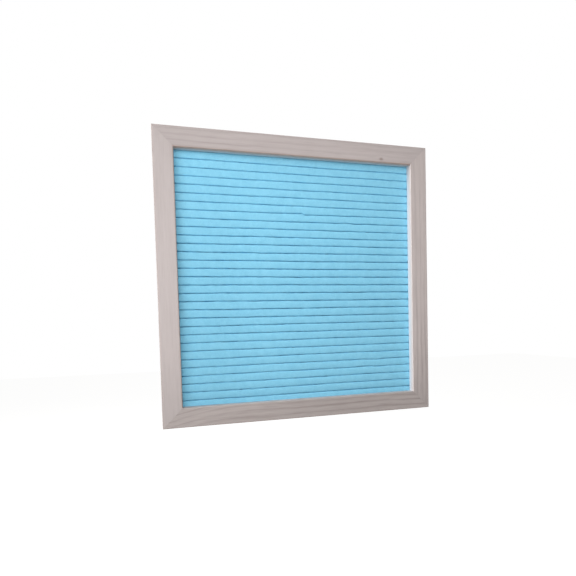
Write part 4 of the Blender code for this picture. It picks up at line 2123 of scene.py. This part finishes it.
@dataclass
class Studio:
    """A plain white studio: an even sky, soft lamps from the upper left and a pale floor below.

    Attributes:
        plan: The board's sizes.
        sky: How much of the full light the sky gives.
        floor_drop: The floor's distance below the board's centre.
        floor_size: The floor's width.
        floor_paint: The floor's colour.
        floor_glow: What the camera sees added to the floor, so that it reads as white.
        lamps: The soft lamps.
    """

    plan: BoardPlan
    sky: float = 0.25
    floor_drop: float = 0.55
    floor_size: float = 9.0
    floor_paint: str = "#E6E5E3"
    floor_glow: float = 0.78
    lamps: tuple[SoftLamp, ...] = (
        SoftLamp(
            "upper_left_softbox", (-0.31, -0.41, 0.14), width=0.52, height=0.28, share=0.48, facing=FRONT
        ),
        SoftLamp("front_softbox", (0.00, -0.50, 0.30), width=0.40, height=0.40, share=0.26, facing=FRONT),
        SoftLamp("left_window", (-1.10, -0.11, 0.42), width=0.20, height=0.60, share=0.85, facing=LEFT),
        SoftLamp("back_fill", (0.55, 1.00, 0.70), width=0.80, height=0.80, share=0.35, facing=BACK),
    )

    def seen(self, tree: Tree) -> Socket:
        """1 for what is seen directly, in a reflection or through something, else 0.

        Args:
            tree: The node tree.

        Returns:
            The share that is seen so.
        """
        path = add_node(tree, "LightPath").outputs
        either = path["Is Camera Ray"]
        for ray in ("Is Glossy Ray", "Is Transmission Ray"):
            either = add_node(tree, "Math", {"operation": "MAXIMUM"}, {0: either, 1: path[ray]}).outputs[0]
        return either

    def light_sky(self) -> None:
        """An even sky that is seen as white."""
        world = bpy.data.worlds.new("white_studio")
        world.use_nodes = True
        tree = world.node_tree
        lit = tree.nodes["Background"]
        set_inputs(tree, lit, {"Color": WHITE, "Strength": self.sky})
        white = add_node(tree, "Background", None, {"Color": WHITE, "Strength": 1.0})
        mixed = add_node(
            tree, "MixShader", None, {0: self.seen(tree), 1: lit.outputs[0], 2: white.outputs[0]}
        )
        tree.links.new(mixed.outputs[0], tree.nodes["World Output"].inputs["Surface"])
        bpy.context.scene.world = world

    def lay_floor(self) -> None:
        """A matt white floor that keeps the board's shadow."""
        bpy.ops.object.select_all(action="DESELECT")
        bpy.ops.mesh.primitive_plane_add(
            size=self.floor_size, location=self.plan.centre - Vector((0.0, 0.0, self.floor_drop))
        )
        floor = bpy.context.object
        floor.name = "studio_floor"
        material, tree, shader = new_material("white_floor_painted")
        glow = add_node(tree, "Math", {"operation": "MULTIPLY"}, {0: self.seen(tree), 1: self.floor_glow})
        paint = {"Base Color": linear(self.floor_paint), "Roughness": 0.9, "Specular IOR Level": 0.0}
        set_inputs(tree, shader, {**paint, "Emission Color": WHITE, "Emission Strength": glow.outputs[0]})
        floor.data.materials.append(material)

    def build(self) -> None:
        """Sets up the sky, the floor, the lamps and the view's settings."""
        self.light_sky()
        self.lay_floor()
        for lamp in self.lamps:
            lamp.hang(self.plan.centre)
        bpy.context.scene.view_settings.view_transform = "Standard"


def main() -> None:
    """Builds the board's looks, part by part, and the studio round it."""
    logging.basicConfig(level=logging.INFO, format="%(message)s")
    plan = BoardPlan.read()
    Viewpoint().set_up()
    Studio(plan).build()
    steel = ZincPlatedSteel().material()
    nails, points, hanger = CornerNails(plan), FramersPoints(plan), WallHanger(plan)
    PineFrame(plan).build(nails, points, hanger)
    PleatedFelt(plan).build(NeedledFelt().material())
    BackBoards(plan).build()
    nails.build(steel)
    points.build(steel)
    hanger.build(steel)


if __name__ == "__main__":
    main()
